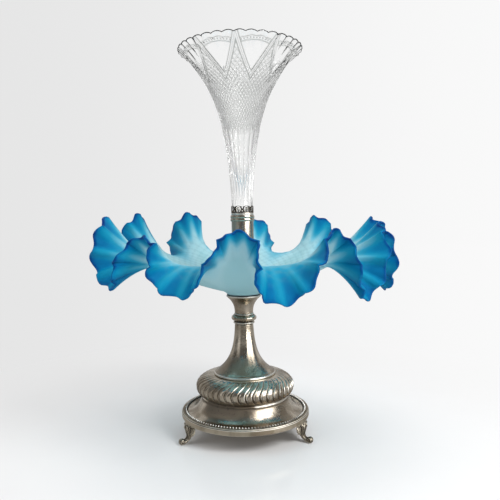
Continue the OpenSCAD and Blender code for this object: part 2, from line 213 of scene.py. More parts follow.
def skinned(points: np.ndarray, marks: Optional[Mapping[str, np.ndarray]] = None) -> bmesh.types.BMesh:
    """Lays a grid over rows of points and closes it where its sides meet.

    Args:
        points: rows by columns of points, in millimetres.
        marks: numbers that the points carry, by name, rows by columns.

    Returns:
        The mesh, in metres.
    """
    rows, columns = points.shape[:2]
    bm = bmesh.new()
    bmesh.ops.create_grid(bm, x_segments=columns - 1, y_segments=rows - 1, size=0.5)
    layers = {name: bm.verts.layers.float.new(name) for name in marks or {}}
    for vert in bm.verts:
        row = round((vert.co.y + 0.5) * (rows - 1))
        column = round((vert.co.x + 0.5) * (columns - 1))
        for name, layer in layers.items():
            vert[layer] = marks[name][row, column]
        vert.co = points[row, column] * MM
    return closed_up(bm)


def on_ring(turn: np.ndarray, radius: Union[float, np.ndarray],
            height: Union[float, np.ndarray]) -> np.ndarray:
    """Gives points round the axis.

    Args:
        turn: their angles from the front.
        radius: their distance from the axis.
        height: their height.

    Returns:
        The points.
    """
    return np.stack((radius * np.sin(turn), -radius * np.cos(turn), np.broadcast_to(height, turn.shape)), -1)


class Skin:
    """Rows of points that a grid is laid over, with the numbers that the points carry."""

    def __init__(self) -> None:
        """Starts an empty skin."""
        self.rows: list[np.ndarray] = []
        self.marks: dict[str, list[np.ndarray]] = {}

    def add(self, points: np.ndarray, **marks: Union[float, np.ndarray]) -> None:
        """Adds a row.

        Args:
            points: the row's points, in millimetres.
            marks: numbers that the points carry, by name, one for all or one for each.
        """
        self.rows.append(points)
        for name, mark in marks.items():
            self.marks.setdefault(name, []).append(np.broadcast_to(mark, points.shape[:1]))

    def close(self) -> None:
        """Lets the first row follow the last one."""
        for rows in (self.rows, *self.marks.values()):
            rows.append(rows[0])

    def laid(self) -> bmesh.types.BMesh:
        """Gives the skin's mesh, in metres."""
        return skinned(np.array(self.rows), {name: np.array(rows) for name, rows in self.marks.items()})


def placed(name: str, bm: bmesh.types.BMesh) -> bpy.types.Object:
    """Puts a mesh into the scene.

    Args:
        name: the object's name.
        bm: its mesh, which is freed.

    Returns:
        The object.
    """
    mesh = bpy.data.meshes.new(name)
    bm.to_mesh(mesh)
    bm.free()
    made = bpy.data.objects.new(name, mesh)
    bpy.context.scene.collection.objects.link(made)
    return made


def read(items: bpy.types.bpy_prop_collection, name: str, width: int, kind: type = float) -> np.ndarray:
    """Reads a property of all items of a mesh.

    Args:
        items: the vertices, edges or marks.
        name: the property's name.
        width: how many numbers it holds.
        kind: what type they have.

    Returns:
        The numbers, one row for each item.
    """
    numbers = np.empty(len(items) * width, dtype=kind)
    items.foreach_get(name, numbers)
    return numbers.reshape(-1, width)


def mark_hollows(mesh: bpy.types.Mesh, scale: float, passes: int) -> None:
    """Marks how much each vertex lies in a hollow of its surface, or on a boss.

    Args:
        mesh: gets the number attribute hollow, which is negative on bosses.
        scale: radius of a hollow or boss, in millimetres, that counts as full.
        passes: how often the marks are spread to their neighbours.
    """
    count = len(mesh.vertices)
    place = read(mesh.vertices, "co", 3)
    normal = read(mesh.vertices, "normal", 3)
    a, b = read(mesh.edges, "vertices", 2, np.int64).T
    a, b = np.concatenate((a, b)), np.concatenate((b, a))
    step = place[b] - place[a]
    length = np.maximum((step * step).sum(1), 1e-12)
    bend = 2 * (step * normal[a]).sum(1) / length * scale * MM
    links = np.maximum(np.bincount(a, minlength=count), 1)
    hollow = np.clip(np.bincount(a, bend, count) / links, -1, 1)
    for _ in range(passes):
        hollow = (hollow + np.bincount(a, hollow[b], count) / links) / 2
    layer = mesh.attributes.new("hollow", "FLOAT", "POINT")
    layer.data.foreach_set("value", hollow)


class Value:
    """A number in a shader, with Python's arithmetic on it."""

    def __init__(self, graph: "Graph", socket: bpy.types.NodeSocket) -> None:
        """Wraps an output socket of a graph."""
        self.graph = graph
        self.socket = socket

    def __add__(self, other: "Number") -> "Value":
        """Sum."""
        return self.graph.math("ADD", self, other)

    __radd__ = __add__

    def __sub__(self, other: "Number") -> "Value":
        """Difference."""
        return self.graph.math("SUBTRACT", self, other)

    def __rsub__(self, other: "Number") -> "Value":
        """Difference from a plain number."""
        return self.graph.math("SUBTRACT", other, self)

    def __mul__(self, other: "Number") -> "Value":
        """Product."""
        return self.graph.math("MULTIPLY", self, other)

    __rmul__ = __mul__

    def __truediv__(self, other: "Number") -> "Value":
        """Quotient."""
        return self.graph.math("DIVIDE", self, other)

    def high(self, other: "Number") -> "Value":
        """The greater of two numbers."""
        return self.graph.math("MAXIMUM", self, other)

    def low(self, other: "Number") -> "Value":
        """The lesser of two numbers."""
        return self.graph.math("MINIMUM", self, other)

    def step(self, low: float, high: float) -> "Value":
        """Eased step from 0 at low to 1 at high.

        Args:
            low: where the step starts.
            high: where it ends.

        Returns:
            The step's height.
        """
        sockets = {"Value": self, "From Min": low, "From Max": high}
        made = self.graph.node("ShaderNodeMapRange", {"interpolation_type": "SMOOTHSTEP"}, sockets)
        return Value(self.graph, made.outputs["Result"])


Number = Union[Value, float]
Feed = Union[Value, bpy.types.NodeSocket, float, Sequence[float]]


class Graph:
    """Node tree of one material or of the world."""

    def __init__(self, tree: bpy.types.NodeTree) -> None:
        """Empties a node tree."""
        self.tree = tree
        tree.nodes.clear()

    def node(self, kind: str, settings: Optional[Mapping[str, object]] = None,
             sockets: Optional[Mapping[Union[str, int], Feed]] = None) -> bpy.types.Node:
        """Adds a node.

        Args:
            kind: the node's type.
            settings: its own settings, set first; stops are those of its colour ramp.
            sockets: values or links of its inputs, by name or place.

        Returns:
            The new node.
        """
        made = self.tree.nodes.new(kind)
        for name, value in (settings or {}).items():
            if name == "stops":
                self.set_stops(made.color_ramp, value)
            else:
                setattr(made, name, value)
        for name, value in (sockets or {}).items():
            self.feed(made.inputs[name], value)
        return made

    def feed(self, target: bpy.types.NodeSocket, value: Feed) -> None:
        """Links or sets an input.

        Args:
            target: the input socket.
            value: a value of this graph, an output socket, a number or a colour.
        """
        if isinstance(value, Value):
            self.tree.links.new(value.socket, target)
        elif isinstance(value, bpy.types.NodeSocket):
            self.tree.links.new(value, target)
        elif target.type == "RGBA":
            target.default_value = (*value, 1.0)
        else:
            target.default_value = value

    @staticmethod
    def set_stops(ramp: bpy.types.ColorRamp, stops: Sequence[tuple[float, Colour]]) -> None:
        """Sets the stops of a colour ramp.

        Args:
            ramp: the ramp.
            stops: place and colour of each stop.
        """
        while len(ramp.elements) < len(stops):
            ramp.elements.new(1.0)
        for element, (place, colour) in zip(ramp.elements, stops):
            element.position = place
            element.color = (*colour, 1.0)

    def shader(self, kind: str, sockets: Mapping[Union[str, int], Feed]) -> bpy.types.NodeSocket:
        """Adds a shader and gives its output."""
        return self.node("ShaderNode" + kind, None, sockets).outputs[0]

    def parts(self, vector: bpy.types.NodeSocket) -> tuple[Value, ...]:
        """Splits a vector into its three numbers."""
        split = self.node("ShaderNodeSeparateXYZ", None, {0: vector})
        return tuple(Value(self, part) for part in split.outputs)

    def math(self, operation: str, *values: Number) -> Value:
        """Adds a Math node on one or two numbers."""
        return Value(self, self.node("ShaderNodeMath", {"operation": operation},
                                     dict(enumerate(values))).outputs[0])

    def place(self, stretch: Optional[Sequence[float]] = None) -> bpy.types.NodeSocket:
        """Gives the point on the piece, in metres.

        Args:
            stretch: factors along the three axes.

        Returns:
            The point's socket.
        """
        point = self.node("ShaderNodeTexCoord").outputs["Object"]
        if stretch is None:
            return point
        return self.node("ShaderNodeMapping", None, {"Vector": point, "Scale": stretch}).outputs[0]

    def noise(self, scale: float, detail: float = 3.0,
              place: Optional[bpy.types.NodeSocket] = None) -> Value:
        """Adds soft noise.

        Args:
            scale: patches to a metre.
            detail: how many finer layers it has.
            place: the point it is read at, or the piece's own point.

        Returns:
            The noise, about 0.5.
        """
        sockets = {"Vector": place or self.place(), "Scale": scale, "Detail": detail}
        return Value(self, self.node("ShaderNodeTexNoise", None, sockets).outputs[0])

    def mark(self, name: str) -> Value:
        """Reads a number that the mesh carries."""
        return Value(self, self.node("ShaderNodeAttribute", {"attribute_name": name}).outputs["Fac"])

    def blend(self, share: Number, first: Feed, second: Feed) -> bpy.types.NodeSocket:
        """Mixes two colours.

        Args:
            share: 0 for the first colour, 1 for the second.
            first: a colour or its socket.
            second: a colour or its socket.

        Returns:
            The mixed colour's socket.
        """
        sockets = {0: share, 6: first, 7: second}
        return self.node("ShaderNodeMix", {"data_type": "RGBA"}, sockets).outputs[2]

    def bump(self, height: Value, depth: float, strength: float) -> bpy.types.NodeSocket:
        """Turns a height into a bumped normal.

        Args:
            height: height over the surface.
            depth: height of 1, in metres.
            strength: how much of it shows.

        Returns:
            The normal's socket.
        """
        sockets = {"Height": height, "Distance": depth, "Strength": strength}
        return self.node("ShaderNodeBump", None, sockets).outputs[0]


@dataclass(frozen=True)
class Finish:
    """A surface finish."""

    name: str

    def material(self) -> bpy.types.Material:
        """Makes the finish's material.

        Returns:
            The material.
        """
        made = bpy.data.materials.new(self.name)
        made.use_nodes = True
        graph = Graph(made.node_tree)
        graph.node("ShaderNodeOutputMaterial", None, {"Surface": self.surface(graph)})
        return made

    def surface(self, graph: Graph) -> bpy.types.NodeSocket:
        """Builds the shader of the surface."""
        raise NotImplementedError


@dataclass(frozen=True)
class AgedSilver(Finish):
    """Worn silver plate: bright on the bosses from wear and painted highlight, brown in patches and black in
    the hollows, where the hollow mark also carries painted shade.
    """

    tone: Colour = (0.70, 0.63, 0.52)
    # colour of the bosses: worn metal, and painted highlight
    wear_and_painted_light: Colour = (0.95, 0.92, 0.85)
    # stain and soot also take the painted shade laid on the hollow mark
    stain_and_painted_shade: Colour = (0.17, 0.12, 0.07)
    soot_and_painted_shade: Colour = (0.015, 0.012, 0.009)
    gloss: float = 0.12
    soiling: float = 1.0

    def surface(self, graph: Graph) -> bpy.types.NodeSocket:
        """Builds the shader: clouds of stain, soot in hollows, worn bosses, fine pits and wiping marks;
        painted shade in the hollow mark deepens the stain and soot, and painted highlight in it lightens the
        bosses.

        Args:
            graph: gets the nodes.

        Returns:
            The shader's socket.
        """
        clouds = graph.noise(46, 6)
        patches = graph.noise(17, 2)
        streaks = graph.noise(90, 4, graph.place((1, 1, 0.18)))
        specks = graph.noise(640, 4)
        wiped = graph.noise(60, 4, graph.place((1, 1, 14)))
        # hollow mark: bend of the surface, plus painted shade where raised and painted highlight where
        # lowered
        bend = graph.mark("hollow")
        hollow = bend.high(0)
        boss = (bend * -1).step(0.22, 0.75)
        cover = clouds * 0.45 + patches * 0.25 + streaks * 0.3 + hollow * 0.6
        stain_and_painted_shade = cover.step(0.44, 0.62) * self.soiling * (1 - boss * 0.7)
        pits = specks.step(0.60, 0.72)
        soot_and_painted_shade = ((hollow.step(0.10, 0.60) + pits * (stain_and_painted_shade * 0.5 + 0.08)) * self.soiling).low(1.0)
        # bosses take the bright colour: partly wear, partly painted highlight
        colour = graph.blend(boss, self.tone, self.wear_and_painted_light)
        colour = graph.blend(stain_and_painted_shade * 0.72, colour, self.stain_and_painted_shade)
        # black: patina in the real hollows, and painted shade where the mark was laid on
        colour = graph.blend(soot_and_painted_shade * 0.94, colour, self.soot_and_painted_shade)
        sockets = {
            "Base Color": colour,
            "Metallic": 1 - soot_and_painted_shade * 0.85,
            "Roughness": stain_and_painted_shade * 0.14 + soot_and_painted_shade * 0.3 + boss * 0.2 + wiped * 0.06 + self.gloss,
            "Normal": graph.bump(specks * 0.5 + wiped * 0.6 + graph.noise(110, 3) * 5, 0.00012, 0.5),
        }
        return graph.shader("BsdfPrincipled", sockets)


@dataclass(frozen=True)
class SatinGlass(Finish):
    """Acid-satined glass whose blue deepens towards the rim."""

    stops: tuple[tuple[float, Colour], ...] = (
        (0.0, (0.36, 0.62, 0.67)), (0.25, (0.44, 0.69, 0.74)), (0.41, (0.38, 0.67, 0.75)),
        (0.53, (0.13, 0.50, 0.65)), (0.63, (0.012, 0.35, 0.54)), (0.76, (0.002, 0.26, 0.47)),
        (0.86, (0.001, 0.19, 0.41)), (0.93, (0.0, 0.10, 0.31)), (1.0, (0.0, 0.03, 0.18)))
    # painted shade: darker colour in the seams of the quilting
    seam: Colour = (0.16, 0.36, 0.42)
    through: float = 0.28
    pale_light: Colour = (0.40, 0.66, 0.73)
    deep_light: Colour = (0.001, 0.21, 0.43)

    def surface(self, graph: Graph) -> bpy.types.NodeSocket:
        """Builds the shader: the blue by its depth, a little cloud in it, painted shade in the quilt seams,
        and light that soaks through.

        Args:
            graph: gets the nodes.

        Returns:
            The shader's socket.
        """
        clouds = graph.noise(38, 3)
        grain = graph.noise(2600, 2)
        depth = graph.mark("depth") + (clouds - 0.5) * 0.14
        colour = graph.node("ShaderNodeValToRGB", {"stops": self.stops}, {"Fac": depth}).outputs[0]
        colour = graph.blend(graph.mark("seam") * 0.5, colour, self.seam)
        normal = graph.bump(grain, 0.00006, 0.3)
        skin = graph.shader("BsdfPrincipled", {
            "Base Color": colour, "Roughness": grain * 0.12 + 0.40, "IOR": 1.45, "Specular IOR Level": 0.15,
            "Normal": normal})
        pale, deep = (graph.shader("BsdfTranslucent", {"Color": tone, "Normal": normal})
                      for tone in (self.pale_light, self.deep_light))
        soaked = graph.shader("MixShader", {0: depth.step(0.38, 0.84), 1: pale, 2: deep})
        return graph.shader("MixShader", {0: self.through, 1: skin, 2: soaked})


@dataclass(frozen=True)
class PressedGlass(Finish):
    """Clear pressed glass, fire polished, with painted shade greying the grooves of its pattern."""

    tone: Colour = (0.985, 0.988, 0.985)
    # painted shade: grey standing in for the dark lines that the pattern's refraction makes
    shade: Colour = (0.22, 0.235, 0.22)

    def surface(self, graph: Graph) -> bpy.types.NodeSocket:
        """Builds the shader: clear glass with faint mould waves.

        Args:
            graph: gets the nodes.

        Returns:
            The shader's socket.
        """
        waves = graph.noise(120, 2)
        groove = graph.mark("groove")
        sockets = {
            "Base Color": graph.blend(groove + waves * 0.04, self.tone, self.shade),
            "Roughness": waves * 0.03 + groove * 0.06 + 0.01,
            "IOR": 1.5,
            "Transmission Weight": 1.0,
            "Normal": graph.bump(waves, 0.0003, 0.2),
        }
        return graph.shader("BsdfPrincipled", sockets)


@dataclass(frozen=True)
class Felt(Finish):
    """Black felt with a short nap."""

    def surface(self, graph: Graph) -> bpy.types.NodeSocket:
        """Builds the shader: matted fibres that catch a little light.

        Args:
            graph: gets the nodes.

        Returns:
            The shader's socket.
        """
        fibres = graph.noise(1500, 5)
        sockets = {
            "Base Color": graph.blend(fibres.step(0.35, 0.75), (0.012, 0.012, 0.014), (0.05, 0.05, 0.055)),
            "Roughness": fibres * 0.1 + 0.85,
            "Sheen Weight": 0.3,
            "Normal": graph.bump(fibres, 0.0004, 0.8),
        }
        return graph.shader("BsdfPrincipled", sockets)


@dataclass(frozen=True)
class Cork(Finish):
    """Bare cork with dark pores."""

    def surface(self, graph: Graph) -> bpy.types.NodeSocket:
        """Builds the shader: mottled bark with pores.

        Args:
            graph: gets the nodes.

        Returns:
            The shader's socket.
        """
        mottle = graph.noise(220, 5)
        pores = graph.noise(650, 2).step(0.62, 0.72)
        colour = graph.blend(mottle.step(0.35, 0.7), (0.36, 0.23, 0.13), (0.58, 0.41, 0.26))
        sockets = {
            "Base Color": graph.blend(pores, colour, (0.10, 0.06, 0.035)),
            "Roughness": mottle * 0.2 + 0.7,
            "Normal": graph.bump(mottle - pores, 0.0003, 0.6),
        }
        return graph.shader("BsdfPrincipled", sockets)


@dataclass(frozen=True)
class TurnedSteel(Finish):
    """Plain turned steel with fine tool lines and a little rust."""

    def surface(self, graph: Graph) -> bpy.types.NodeSocket:
        """Builds the shader: tool lines round the axis and specks of rust.

        Args:
            graph: gets the nodes.

        Returns:
            The shader's socket.
        """
        lines = graph.noise(220, 2, graph.place((1, 1, 30)))
        rust = graph.noise(90, 5).step(0.58, 0.72)
        sockets = {
            "Base Color": graph.blend(rust, (0.42, 0.41, 0.40), (0.16, 0.08, 0.04)),
            "Metallic": 1 - rust * 0.7,
            "Roughness": lines * 0.2 + rust * 0.35 + 0.22,
            "Normal": graph.bump(lines + rust, 0.0001, 0.4),
        }
        return graph.shader("BsdfPrincipled", sockets)


class Palette:
    """Materials of the object, each made once."""

    def __init__(self) -> None:
        """Makes every material."""
        self.silver = AgedSilver("aged_silver").material()
        self.tube_silver = AgedSilver("tube_silver", soiling=0.6).material()
        # painted highlight: a near-white, rougher copy of the silver for the beads and the gallery's inner
        # faces
        self.painted_highlight_silver = AgedSilver(
            "painted_highlight_silver", tone=(0.97, 0.95, 0.90), gloss=0.50, soiling=0.95).material()
        self.rubbed_silver = AgedSilver(
            "rubbed_silver", tone=(0.64, 0.565, 0.44), gloss=0.33, soiling=0.9).material()
        # painted shade: a dark copy of the silver for the feet, which stand in the skirt's shadow
        self.painted_shade_cast_silver = AgedSilver(
            "painted_shade_cast_silver", tone=(0.20, 0.17, 0.13), wear_and_painted_light=(0.62, 0.56, 0.45),
            stain_and_painted_shade=(0.04, 0.03, 0.02)).material()
        # painted shade: a near-black copy of the silver for the gallery's outside
        self.painted_shade_silver = AgedSilver(
            "painted_shade_silver", tone=(0.12, 0.105, 0.085), wear_and_painted_light=(0.92, 0.88, 0.8)).material()
        self.steel = TurnedSteel("turned_steel").material()
        self.felt = Felt("black_felt").material()
        self.satin = SatinGlass("satin_glass").material()
        self.cork = Cork("bare_cork").material()
        self.clear = PressedGlass("pressed_glass").material()


@dataclass
class SubAssembly:
    """Pieces that are built and dressed together."""

    body: ClassVar[Body] = Body.STAND
    palette: Palette

    def piece(self, name: str, bm: bmesh.types.BMesh, material: bpy.types.Material, *nodes: str,
              slot: Slot = Slot.SILVER, hollows: Optional[tuple[float, int]] = None) -> bpy.types.Object:
        """Finishes a mesh as a piece of the object.

        Args:
            name: the piece's name.
            bm: its mesh, in place, which is freed.
            material: its finish.
            nodes: the CAD nodes that it stands for.
            slot: the record's slot it takes its finish from; not used.
            hollows: scale and passes for the marks of its hollows, if it is marked.

        Returns:
            The piece.
        """
        made = placed(name, bm)
        mesh = made.data
        mesh.shade_smooth()
        mesh.materials.append(material)
        if hollows:
            mark_hollows(mesh, *hollows)
        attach(made, self.body.value)
        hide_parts(*nodes)
        LOG.info("%s: %d faces on %s", name, len(mesh.polygons), self.body.value)
        return made

    @staticmethod
    def paint_shade(piece: bpy.types.Object, depth: Callable[[np.ndarray], np.ndarray]) -> None:
        """Paints shade onto parts of a piece by raising its hollow mark, which the silver darkens like a
        hollow.

        Args:
            piece: what is darkened.
            depth: gives the depth of the painted shade, from 0 to 1, from points in millimetres.
        """
        mesh = piece.data
        layer = mesh.attributes.get("hollow") or mesh.attributes.new("hollow", "FLOAT", "POINT")
        marks = read(layer.data, "value", 1)[:, 0]
        paint_shade = depth(read(mesh.vertices, "co", 3) / MM)
        layer.data.foreach_set("value", np.where(paint_shade > 0, np.maximum(marks, paint_shade), marks))

    @staticmethod
    def keep_flats(piece: bpy.types.Object) -> None:
        """Lets the large faces of a piece set the shading of its roundings."""
        piece.modifiers.new("flats", "WEIGHTED_NORMAL").keep_sharp = True

    @staticmethod
    def dress_node(node: str, material: bpy.types.Material) -> None:
        """Gives a CAD node that stays its finish.

        Args:
            node: the node's name.
            material: its finish.
        """
        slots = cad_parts[node].data.materials
        slots.clear()
        slots.append(material)
        LOG.info("%s: dressed as it is", node)


@dataclass
class Base(SubAssembly):
    """Skirt, domed plate and bead row of the stand."""

    lip_width: float = 3.2
    groove: float = 0.9
    sheet: float = 1.2
    bead: float = 2.0
    beads: int = 132
    bead_size: float = 1.05
    bead_shape: tuple[float, float, float] = (1.0, 0.62, 1.12)
    bead_lift: float = 0.8
    strip: float = 0.3
    ledge: float = 4.5
    neck_radius: float = 41.5
    roll: float = 1.5
    dome_power: float = 2.4
    hole: float = 3.3
    gap: float = 0.05
    columns: int = 240

    def __post_init__(self) -> None:
        """Takes the sizes from the frame."""
        self.skirt = Span.of("skirt_rim")
        self.plate = Span.of("base_plate")
        self.lip_radius = self.skirt.radius - self.lip_width
        self.groove_z = self.skirt.high - self.groove
        self.bead_ring = self.lip_radius - self.bead / 2

    def build(self) -> None:
        """Builds the three pieces."""
        self.build_skirt()
        self.build_plate()
        self.build_beads()

    def build_skirt(self) -> None:
        """Turns the skirt: a tall plain band, a lip with painted shade on its top towards the front and
        painted shadow in the line inside it, and the bead groove.
        """
        r, low, high = self.skirt.radius, self.skirt.low, self.skirt.high
        lip, bed = self.lip_radius, self.groove_z - self.sheet
        inner = lip - self.ledge

        def painted_shade(at: np.ndarray) -> np.ndarray:
            """Gives the painted shade on the top of the lip, most at the front, and the painted shadow in
            the line inside it.
            """
            front = (at[:, 2] > high - 0.25) * smooth(-40, 10, -at[:, 1])
            return 0.25 * front + 0.6 * (np.hypot(at[:, 0], at[:, 1]) < lip + 0.25)

        outline = Outline().to(inner, low, 0.3).to(r - 0.6, low, 0.4).to(r - self.gap, low + 0.7, 0.4)
        outline.to(r - self.gap, high - 1.5, 0.4).to(r - 0.5, high - 1.1, 0.2).to(r - 0.7, high - 0.3, 0.4)
        outline.to(r - 1.5, high, 0.5).to(lip + 0.35, high, 0.35).to(lip, high - 0.5, 0.2)
        outline.to(lip, bed, 0.1).to(inner, bed, 0.3)
        made = self.piece("moulded_skirt", turned(outline, self.columns), self.palette.rubbed_silver,
                          "skirt_rim", hollows=(1.0, 1))
        # painted shade on the lip and painted shadow in the line inside it
        self.paint_shade(made, painted_shade)
        self.keep_flats(made)

    def build_plate(self) -> None:
        """Turns the domed plate with its cove and flat brim."""
        edge = self.bead_ring - self.bead
        top = self.plate.high
        rise = top - self.groove_z

        def cove(u: float) -> tuple[float, float]:
            """Gives the dome's side, from the neck to the brim."""
            return (self.neck_radius + (edge - self.neck_radius) * u,
                    self.groove_z + rise * (1 - u) ** self.dome_power)

        def under(u: float) -> tuple[float, float]:
            """Gives the underside, from the brim to the neck."""
            radius, height = cove(1 - u)
            return radius - self.sheet, height - self.sheet

        def neck(u: float) -> tuple[float, float]:
            """Gives the roll round the neck."""
            angle = math.radians(90 - 140 * u)
            return self.neck_radius + self.roll * math.cos(angle), top - self.roll * (1 - math.sin(angle))

        def below(u: float) -> tuple[float, float]:
            """Gives the dome's side below the roll."""
            return cove(0.13 + 0.87 * u)

        def painted_shade(at: np.ndarray) -> np.ndarray:
            """Gives the painted shadow along the beads and a painted dark reflection in a patch on the front
            left.

            Args:
                at: points of the plate.

            Returns:
                Depths of the painted shade.
            """
            radius = np.hypot(at[:, 0], at[:, 1])
            bearing = np.degrees(np.arctan2(at[:, 0], -at[:, 1]))
            front = smooth(-68, -50, bearing) * (1 - smooth(-16, 12, bearing))
            patch = front * (1 - smooth(edge - 12, edge - 5, radius))
            return np.maximum(smooth(edge - 0.4, edge + 0.6, radius), 0.40 * patch)

        rim = self.lip_radius - self.gap
        outline = Outline().to(self.hole, top).along(neck, 10).along(below, 40).to(rim, self.groove_z)
        outline.to(rim, self.groove_z - self.sheet).along(under, 40).to(self.hole, top - self.sheet)
        made = self.piece("domed_plate", turned(outline, self.columns), self.palette.silver, "base_plate",
                          hollows=(2.0, 2))
        # painted shadow along the beads and painted dark reflection on the front left
        self.paint_shade(made, painted_shade)

    def build_beads(self) -> None:
        """Sets the beads on their strip."""
        low, high = self.groove_z, self.groove_z + self.strip
        inner, outer = self.bead_ring - self.bead / 2, self.bead_ring + self.bead / 2 - self.gap
        bm = turned(Outline().to(inner, low).to(outer, low).to(outer, high, 0.1).to(inner, high, 0.1),
                    self.columns)
        for i in range(self.beads):
            place = Matrix.Rotation(TAU * i / self.beads, 4, "Z") @ Matrix.Translation(
                (self.bead_ring * MM, 0, (low + self.bead_lift) * MM))
            bmesh.ops.create_uvsphere(bm, u_segments=10, v_segments=7, radius=self.bead_size * MM,
                                      matrix=place @ Matrix.Diagonal((*self.bead_shape, 1)))
        made = self.piece("bead_row", bm, self.palette.painted_highlight_silver, "bead_border")
        # painted shade: darker at the foot of the beads and on their strip
        self.paint_shade(made, lambda at: 1 - smooth(0.4, 0.8, at[:, 2] - low))


@dataclass
class Knop(SubAssembly):
    """Squashed knop whose gadroons sweep round it."""

    neck_radius: float = 41.5
    flat_radius: float = 31.6
    inner_radius: float = 22.0
    low_height: float = 9.2
    gadroons: int = 44
    bulge: float = 0.45
    groove: float = 1.1
    groove_width: float = 0.075
    line: float = 0.6
    line_at: float = 0.19
    line_width: float = 0.22
    swirl: float = 13.0
    swirl_low: float = 0.45
    columns_each: int = 20
    rows: int = 52

    def __post_init__(self) -> None:
        """Takes the sizes from the frame."""
        self.span = Span.of("gadrooned_knop")

    def lobe(self, place: np.ndarray) -> np.ndarray:
        """Gives the height of the gadroons: a narrow groove, a fine ridge beside it and a flat swelling.

        Args:
            place: places round the knop, counted in gadroons.

        Returns:
            The heights.
        """
        share = place - np.floor(place)
        aside = np.minimum(share, 1 - share)
        swell = self.bulge * (1 - (2 * share - 1) ** 2)
        groove = self.groove * np.exp(-(aside / self.groove_width) ** 2)
        return swell - groove + self.line * ridge(share - self.line_at, self.line_width)

    def build(self) -> None:
        """Lays the gadrooned skin and closes it on its inside."""
        turn = np.linspace(0, TAU, self.gadroons * self.columns_each + 1)
        bearing = turn + math.pi / 2
        wide = self.span.low + self.low_height
        skin = Skin()
        skin.add(on_ring(bearing, self.inner_radius, self.span.low))
        for rise in np.linspace(-math.pi / 2, math.pi / 2, self.rows):
            low = rise < 0
            edge = self.neck_radius if low else self.flat_radius
            height = self.low_height if low else self.span.height - self.low_height
            sweep = math.radians(self.swirl) * (self.swirl_low if low else 1.0) * math.sin(rise) ** 2
            place = self.gadroons / TAU * (turn - sweep)
            lobe = self.lobe(place)
            fade = math.sqrt(max(0.0, math.cos(rise)))
            if low:
                tongue = 0.16 * np.cos(TAU * (place - 0.5))
                fade = fade * smooth(-0.95, -0.78, rise + tongue)
            body = self.span.radius - self.bulge - self.line * 0.5
            radius = edge + (body - edge) * math.cos(rise) + lobe * fade
            skin.add(on_ring(bearing, radius, wide + height * math.sin(rise)))
        skin.add(on_ring(bearing, self.inner_radius, self.span.high))
        skin.close()
        made = self.piece("swirled_knop", skin.laid(), self.palette.silver, "gadrooned_knop",
                          hollows=(2.0, 1))
        # painted shade: darker below the widest part and towards the left
        self.paint_shade(made, lambda at: (0.2 * (1 - smooth(wide - 6, wide - 2, at[:, 2]))
                                    + 0.05 * smooth(5, 35, -at[:, 0])))


